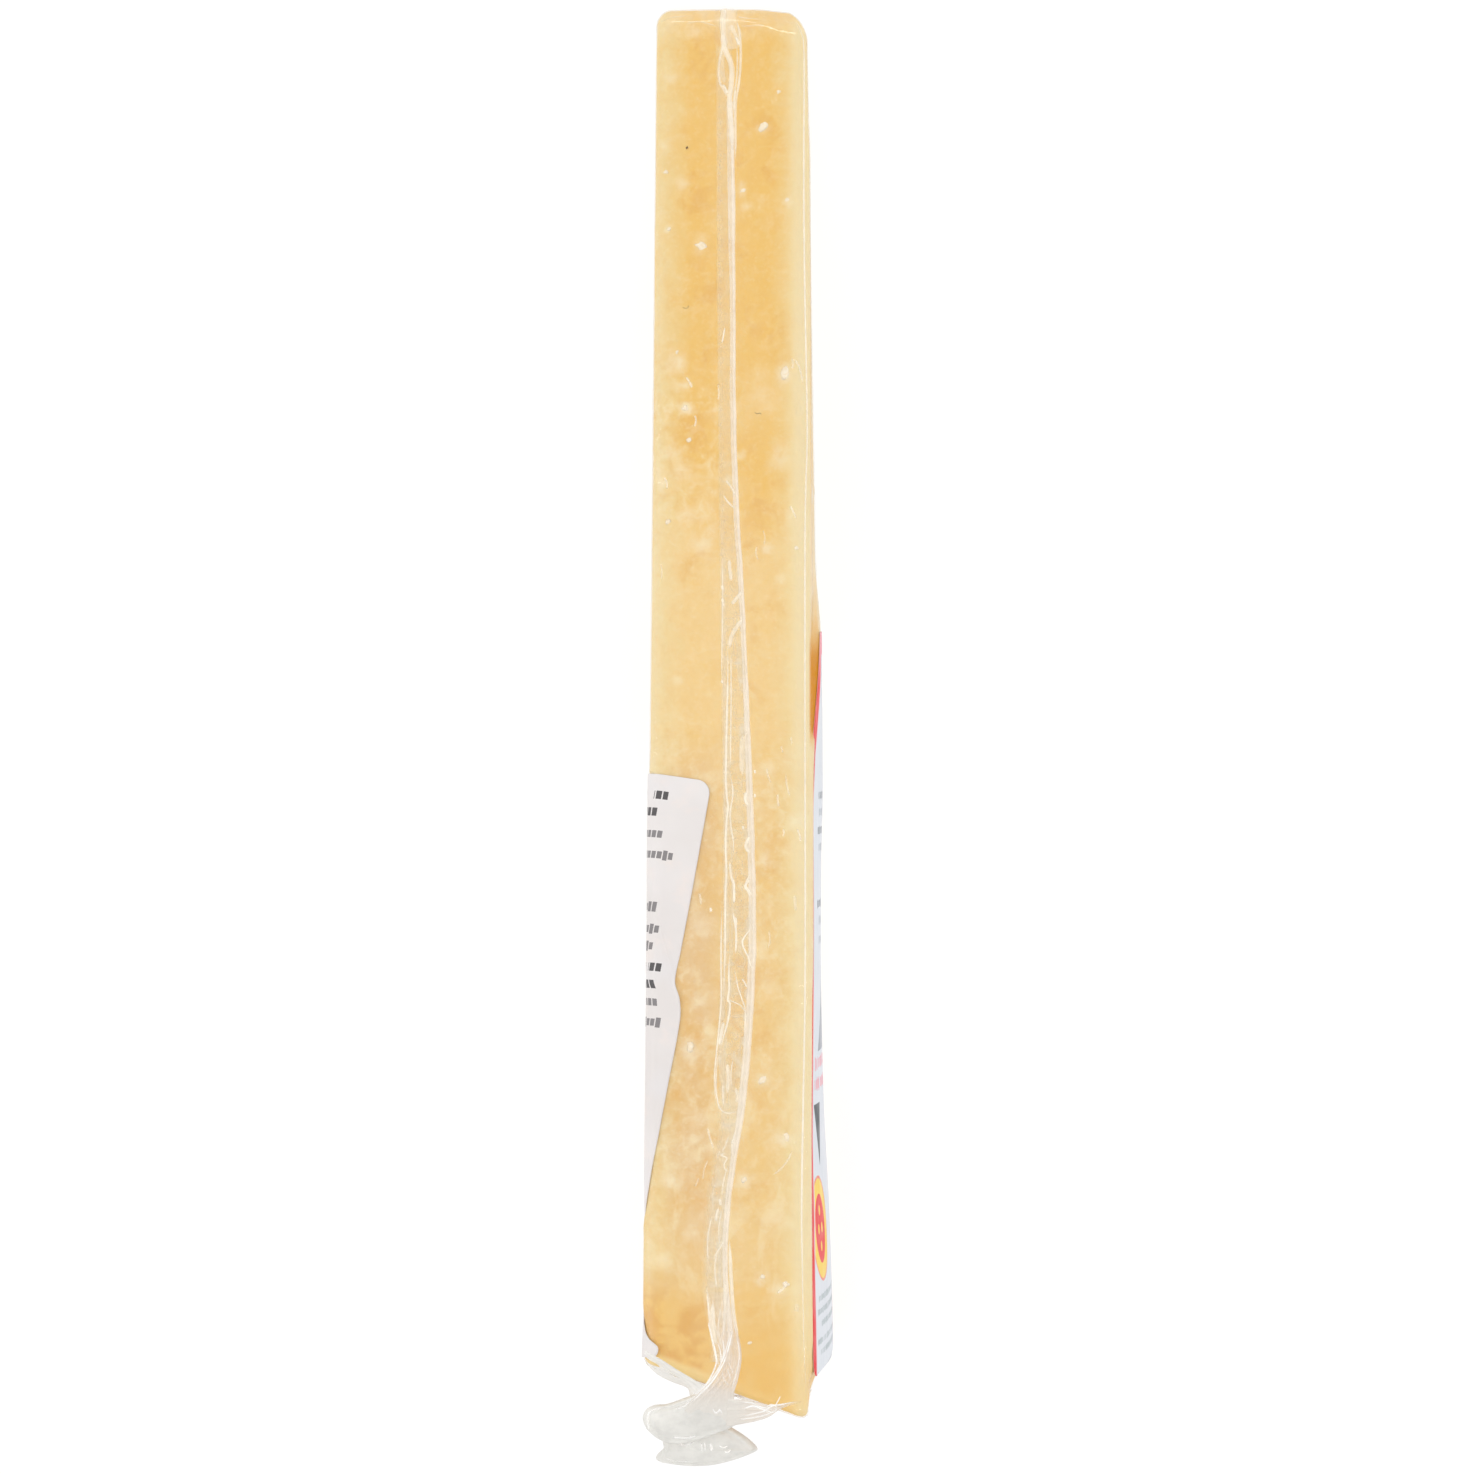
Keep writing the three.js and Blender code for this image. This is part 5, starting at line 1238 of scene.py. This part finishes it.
def span(pts, q):
    """Lowest and highest second coordinate of an outline at first coordinate q."""
    s, e = pts, np.roll(pts, -1, axis=0)
    lo, hi = np.full(len(q), 1e9), np.full(len(q), -1e9)
    for (a0, b0), (a1, b1) in zip(s, e):
        if abs(a1 - a0) < 1e-9:
            continue
        t = (q - a0) / (a1 - a0)
        ok = (t >= -1e-9) & (t <= 1 + 1e-9)
        b = b0 + (b1 - b0) * t
        lo, hi = np.where(ok, np.minimum(lo, b), lo), np.where(ok, np.maximum(hi, b), hi)
    return lo, hi


class Print:
    """Flat shapes on a label, in mm: a runs down the label, b across it."""

    def __init__(self, g, a, b):
        self.g, self.a, self.b = g, a, b

    def both(self, m, n):
        return self.g.math("MULTIPLY", m, n)

    def box(self, a0, a1, b0, b1):
        g = self.g
        m = self.both(g.math("GREATER_THAN", self.a, a0), g.math("LESS_THAN", self.a, a1))
        return self.both(m, self.both(g.math("GREATER_THAN", self.b, b0), g.math("LESS_THAN", self.b, b1)))

    def oval(self, a, b, ra, rb):
        g = self.g
        da = g.math("DIVIDE", g.math("SUBTRACT", self.a, a), ra)
        db = g.math("DIVIDE", g.math("SUBTRACT", self.b, b), rb)
        return g.math("LESS_THAN", g.math("ADD", g.math("MULTIPLY", da, da), g.math("MULTIPLY", db, db)), 1.0)

    def words(self, middle, tall, b0, b1, seed, first=2.0):
        """A line of greeked print: plain blocks, grouped like words."""
        g = self.g
        cell = 0.78 * tall / 1.25
        u = g.math("DIVIDE", g.math("SUBTRACT", self.b, b0), cell)
        k = g.math("FLOOR", u)
        rnd = g.node("ShaderNodeTexWhiteNoise", noise_dimensions="1D")
        g.put(rnd.inputs["W"], g.math("ADD", k, seed * 37.7))
        body = g.math("LESS_THAN", g.math("ABSOLUTE", g.math("SUBTRACT", g.math("FRACT", u), 0.5)), 0.40)
        half = g.math("ADD", tall * 0.40, g.math("MULTIPLY", g.math("GREATER_THAN", rnd.outputs["Value"], 0.72), tall * 0.16))
        row = g.math("LESS_THAN", g.math("ABSOLUTE", g.math("SUBTRACT", self.a, middle)), half)
        word = g.node("ShaderNodeTexWhiteNoise", noise_dimensions="1D")
        g.put(word.inputs["W"], g.math("ADD", k, seed * 11.3 + 500))
        keep = g.math("MAXIMUM", g.math("GREATER_THAN", word.outputs["Value"], 0.17), g.math("LESS_THAN", self.b, b0 + first))
        field = self.both(g.math("GREATER_THAN", self.b, b0), g.math("LESS_THAN", self.b, b1))
        return self.both(self.both(body, row), self.both(keep, field))


def front_label_material():
    g = Graph("front_label")
    a, b, rim, face = g.attr("lu"), g.attr("lv"), g.attr("rim"), g.attr("printed")
    k = Print(g, a, b)
    white = g.mix(g.noise(90, 3, 0.5), lin(217, 222, 229), lin(226, 229, 235))
    grey, dark, rose = lin(160, 168, 176), lin(92, 100, 106), lin(236, 160, 172)
    inner = g.math("GREATER_THAN", rim, 5.4)

    def add(col, mask, c, fac=1.0):
        return g.mix(g.math("MULTIPLY", g.math("MULTIPLY", mask, inner), fac), col, c)

    col = white
    # plain bars for a heading, a shaded field, short rose bars, a tapering bar, a two-colour disc and small print
    for a0, b0, b1, c in ((128.6, -14, 2, dark), (131.0, -13, 0, grey), (133.6, -14, 4, dark), (136.0, -14, 2, grey), (144.0, -8, 7, dark), (146.4, -10, 5, grey), (149.2, -12, 3, grey)):
        col = add(col, k.words((a0 + 0.6), 1.2, b0, b1, a0), c, 0.8)
    shade = g.mix(g.map(g.math("ADD", b, g.math("MULTIPLY", g.noise(260, 2, 0.5), 16.0)), -8.0, 16.0), lin(196, 200, 206), lin(150, 154, 162))
    edge_b = g.math("SUBTRACT", g.math("MULTIPLY", g.math("SUBTRACT", a, 153.5), 1.7), 12.0)
    shade_mask = g.math("MULTIPLY", k.box(154.0, 165.4, -18, 16), g.math("LESS_THAN", b, edge_b))
    col = add(col, shade_mask, shade)
    for m, b1 in ((167.0, 18), (169.9, 16)):
        col = add(col, k.words(m, 1.7, -15, b1, m), rose)
    taper = g.math("LESS_THAN", g.math("ABSOLUTE", g.math("SUBTRACT", b, g.math("SUBTRACT", 12.0, g.math("MULTIPLY", g.math("SUBTRACT", a, 172.6), 0.4)))),
                   g.math("MULTIPLY", g.math("SUBTRACT", 181.6, a), 0.62))
    col = add(col, g.math("MULTIPLY", k.box(172.6, 181.6, -8, 20), taper), lin(70, 78, 82))
    d = Print(g, a, g.math("ADD", b, g.math("MULTIPLY", g.math("SUBTRACT", a, 190.3), 0.42)))
    col = add(col, d.oval(190.3, 10.5, 7.6, 12.4), lin(240, 140, 118))
    col = add(col, d.oval(190.3, 10.5, 7.2, 11.6), lin(250, 212, 84))
    col = add(col, d.oval(190.3, 10.5, 5.0, 7.6), lin(236, 58, 58))
    for da, db in ((-2.6, 0.0), (0.0, 2.6), (0.0, -2.6), (2.6, 0.0)):
        col = add(col, d.oval(190.3 + da, 10.5 + db, 0.75, 1.2), lin(248, 206, 84))
    for m, b1 in ((199.9, 17), (201.7, 19), (203.5, 14), (205.8, 20), (207.4, 16)):
        col = add(col, k.words(m, 0.9, -18, b1, m), lin(158, 172, 174), 0.85)
    # border: the red band and its pale inner edge
    band = g.math("LESS_THAN", rim, 4.2)
    edge = g.math("MULTIPLY", g.math("GREATER_THAN", rim, 4.2), g.math("LESS_THAN", rim, 4.9))
    red = g.mix(g.map(a, 114.5, 107.0), lin(233, 34, 44), lin(240, 150, 166))
    col = g.mix(band, col, red)
    col = g.mix(edge, col, lin(238, 186, 194))
    col = g.mix(face, lin(238, 236, 232), col)
    fibre = g.noise(1400, 3.0, 0.6)
    p = g.principled(Base_Color=col, Roughness=g.map(g.noise(300, 3, 0.5), 0.3, 0.7, 0.28, 0.42), Normal=g.bump(fibre, 0.12, 0.00005))
    p.inputs["Specular IOR Level"].default_value = 0.03
    return g.end(p.outputs[0])


def back_label_material():
    g = Graph("back_label")
    a, b, rim, face = g.attr("lu"), g.attr("lv"), g.attr("rim"), g.attr("printed")
    k = Print(g, a, b)
    paper = g.mix(g.map(g.noise(60, 3, 0.5), 0.35, 0.65), lin(228, 222, 219), lin(234, 229, 227))
    paper = g.mix(g.map(g.noise(200, 3, 0.6), 0.5, 0.7, 0.0, 0.4), paper, lin(243, 229, 221))
    paper = g.mix(g.map(g.noise(110, 2, 0.5), 0.5, 0.7, 0.0, 0.35), paper, lin(230, 228, 230))
    col = paper
    rows = ((2.9, 5.6, 1), (5.3, 6.7, 1), (8.4, 5.5, 0), (11.3, 3.5, 0), (18.6, 4.4, 0), (21.7, 3.5, 0), (24.1, 3.9, 0), (27.0, 2.1, 1), (29.4, 2.9, 1), (31.9, 3.2, 0), (34.7, 2.6, 0))
    more = tuple((34.7 + 2.6 * i, 5.5 + 3.0 * ((i * 7) % 5) / 5.0, 0) for i in range(2, 13))
    for i, (middle, margin, bold) in enumerate(rows + more):
        ink = k.words(middle, 1.45 if bold else 1.25, margin, 36.0 - 1.7 * ((i * 5) % 4), i + 1)
        col = g.mix(g.math("MULTIPLY", ink, 0.92 if bold else 0.80), col, lin(58, 55, 58) if bold else lin(96, 93, 96))
    col = g.mix(face, lin(236, 233, 229), col)
    fibre = g.noise(1500, 3.0, 0.6)
    p = g.principled(Base_Color=col, Roughness=g.map(g.noise(300, 3, 0.5), 0.3, 0.7, 0.42, 0.58), Normal=g.bump(fibre, 0.12, 0.00005))
    p.inputs["Specular IOR Level"].default_value = 0.3
    return g.end(p.outputs[0])


def label_sheet(name, outer, inner, lu, lv, rim):
    ob = closed_sheet(name, outer, inner)
    put_attr(ob, "lu", np.concatenate([lu.ravel()] * 2))
    put_attr(ob, "lv", np.concatenate([lv.ravel()] * 2))
    put_attr(ob, "rim", np.concatenate([rim.ravel(), rim.ravel() * 0]))
    put_attr(ob, "printed", np.concatenate([np.ones(lu.size), np.zeros(lu.size)]))
    return ob


def make_front_label():
    def outline(foot):
        return rounded_outline([(105.6, front_far(105.6) + 0.6, 1.6), (105.9, -1.5, 2.2), (121.0, front_near(121) + 0.3, 6.0), (150, front_near(150) - 0.6, 60),
                                (foot + 0.6, front_near(foot + 0.6) - 1.0, 3.0), (foot, front_far(foot) + 0.4, 3.5)])

    out = outline(209.6)
    qlo, qhi = out[:, 0].min(), out[:, 0].max()
    t = np.linspace(0, 1, 240)
    q = qlo + (qhi - qlo) * (t - 0.035 * np.sin(2 * math.pi * t))
    q[0] += 0.01
    q[-1] -= 0.01
    lo, hi = span(out, q)
    s = np.linspace(0, 1, 110)[None, :]
    w = lo[:, None] * (1 - s) + hi[:, None] * s
    qq = np.broadcast_to(q[:, None], w.shape)
    p3 = np.stack([0 * w, qq, w], -1)
    across = np.clip((w - front_far(qq)) / np.maximum(front_near(qq) - front_far(qq), 1e-6), 0, 1)
    rim = outline_distance(outline(240.0), qq, w)
    near_part = smooth(0.45, 0.6, across)
    rim = rim + 6.0 * (1 - smooth(0.30, 0.45, across)) * smooth(108, 111, qq) * (1 - smooth(166, 176, qq))
    rim = rim + near_part * (2.0 * smooth(122, 132, qq) * (1 - smooth(176, 190, qq)) + 0.6 * smooth(186, 192, qq))
    lift = front_lift(qq, across) + 0.02 * noise(p3, (1, 16, 9), 301) + 0.02
    x = half_slab(qq) + lift
    outer = np.stack([x + 0.06, qq, w], -1)
    inner = np.stack([x - 0.06, qq, w], -1)
    ob = label_sheet("front_label_paper", outer, inner, qq, w, rim)
    ob.data.materials.append(front_label_material())
    return ride(ob, "front_label", "front_label")


def make_back_label():
    r = EDGE_R

    def fold(q, across, off):
        along, over = q * COS + across * SIN, across * COS - q * SIN
        a = half_slab(q)
        t = (over + r) / r
        on_side, on_arc = over < -r, (over >= -r) & (over < -r + math.pi * r / 2)
        x = np.where(on_side, -a - off, np.where(on_arc, -a + r - (r + off) * np.cos(t), -a + r + (over + r - math.pi * r / 2)))
        n = np.where(on_side, over, np.where(on_arc, -r + (r + off) * np.sin(t), off))
        return np.stack([x, along * COS - n * SIN, along * SIN + n * COS], -1)

    ends = BACK_CORNER * (1 - np.cos(np.linspace(0, math.pi / 2, 12)))
    q = np.unique(np.concatenate([BACK_TOP + ends, np.linspace(BACK_TOP + BACK_CORNER, BACK_FOOT - BACK_CORNER, 280), BACK_FOOT - ends]))
    d = np.minimum(q - BACK_TOP, BACK_FOOT - q)
    cut = np.where(d < BACK_CORNER, BACK_CORNER - np.sqrt(np.maximum(0, BACK_CORNER**2 - (BACK_CORNER - d) ** 2)), 0) * 0.99
    near = back_near(q)
    lo, hi = BACK_FAR + cut, near - cut * np.where(q > 190, 0.5, 1.0)
    s = np.linspace(0, 1, 120)[None, :] ** 0.8
    across = lo[:, None] * (1 - s) + hi[:, None] * s
    qq = np.broadcast_to(q[:, None], across.shape)
    p3 = np.stack([0 * across, qq, across], -1)
    wave = 0.03 * noise(p3, (1, 22, 9), 311) + 0.02 * noise(p3, (1, 6, 5), 313)
    # crease from the wrapped edge down to the label's right side
    c0, c1 = np.array([147.0, 22.6]), np.array([156.0, 26.6])
    dirn = (c1 - c0) / np.linalg.norm(c1 - c0)
    off_line = (qq - c0[0]) * dirn[1] - (across - c0[1]) * dirn[0]
    on_line = (qq - c0[0]) * dirn[0] + (across - c0[1]) * dirn[1]
    crease = np.exp(-((off_line / 0.30) ** 2)) * smooth(-3.0, 1.0, on_line)
    lift = 0.20 - 0.13 * smooth(185, 189, qq) * (1 - smooth(199, 203, qq)) + wave + 0.18 * crease + 0.10 * smooth(0.0, 3.0, off_line) * np.exp(-((off_line / 4.0) ** 2)) * smooth(-2.0, 2.0, on_line)
    # the foot's corner stands up a little from the film
    lift = lift + 0.30 * smooth(200, 206, qq) * smooth(27, 31, across)
    outer, inner = fold(qq, across, lift + 0.06), fold(qq, across, lift - 0.06)
    rim = np.minimum(np.minimum(across - lo[:, None], hi[:, None] - across), d[:, None])
    ob = label_sheet("back_label_paper", outer, inner, qq - BACK_TOP, near[:, None] - across, rim)
    ob.data.materials.append(back_label_material())
    return ride(ob, "back_label", "back_label")


# ------------------------------------------------------------------ stage and light
def make_stage():
    floor = new_object("floor", [(-3, -3, 0), (3, -3, 0), (3, 3, 0), (-3, 3, 0)], [(0, 1, 2, 3)], False)
    g = Graph("floor")
    p = g.principled(Base_Color=lin(140, 140, 140), Roughness=0.9)
    p.inputs["Specular IOR Level"].default_value = 0.0
    p.inputs["Emission Color"].default_value = (1, 1, 1, 1)
    p.inputs["Emission Strength"].default_value = 0.80
    floor.data.materials.append(g.end(p.outputs[0]))
    world = bpy.data.worlds.new("studio")
    bpy.context.scene.world = world
    world.use_nodes = True
    bg = world.node_tree.nodes["Background"]
    bg.inputs[0].default_value = (1, 1, 1, 1)
    bg.inputs[1].default_value = 0.76

    def area(name, at, look, size, size_y, radiance):
        data = bpy.data.lights.new(name, "AREA")
        data.shape = "RECTANGLE"
        data.size, data.size_y, data.energy = size, size_y, radiance * math.pi * size * size_y
        ob = bpy.data.objects.new(name, data)
        ob.location = at
        ob.rotation_mode = "QUATERNION"
        ob.rotation_quaternion = (Vector(look) - Vector(at)).to_track_quat("-Z", "Y")
        bpy.context.scene.collection.objects.link(ob)

    area("strip_left", (-0.95, 0.1, 0.75), (0, 0, 0.03), 0.22, 0.9, 4.0)
    area("strip_right", (0.95, 0.0, 0.70), (0, 0, 0.03), 0.06, 0.9, 9.0)
    area("strip_tip", (0.0, 1.05, 0.60), (0, 0, 0.03), 0.7, 0.07, 10.0)
    area("overhead", (0.15, -0.35, 1.5), (0, 0, 0.03), 0.8, 0.5, 1.6)


make_stage()
make_cheese()
make_crystals()
make_skin()
make_seal()
make_weld()
make_creases_and_painted_glints()
make_specks()
make_tail()
make_front_label()
make_back_label()

sc = bpy.context.scene
sc.view_settings.view_transform = "Standard"
sc.view_settings.look = "None"
sc.view_settings.exposure = 0.0
sc.cycles.transparent_max_bounces = 32
sc.cycles.max_bounces = 8
sc.cycles.diffuse_bounces = 3
sc.cycles.glossy_bounces = 3
sc.cycles.use_adaptive_sampling = True
sc.cycles.adaptive_threshold = 0.03
sc.cycles.use_denoising = True
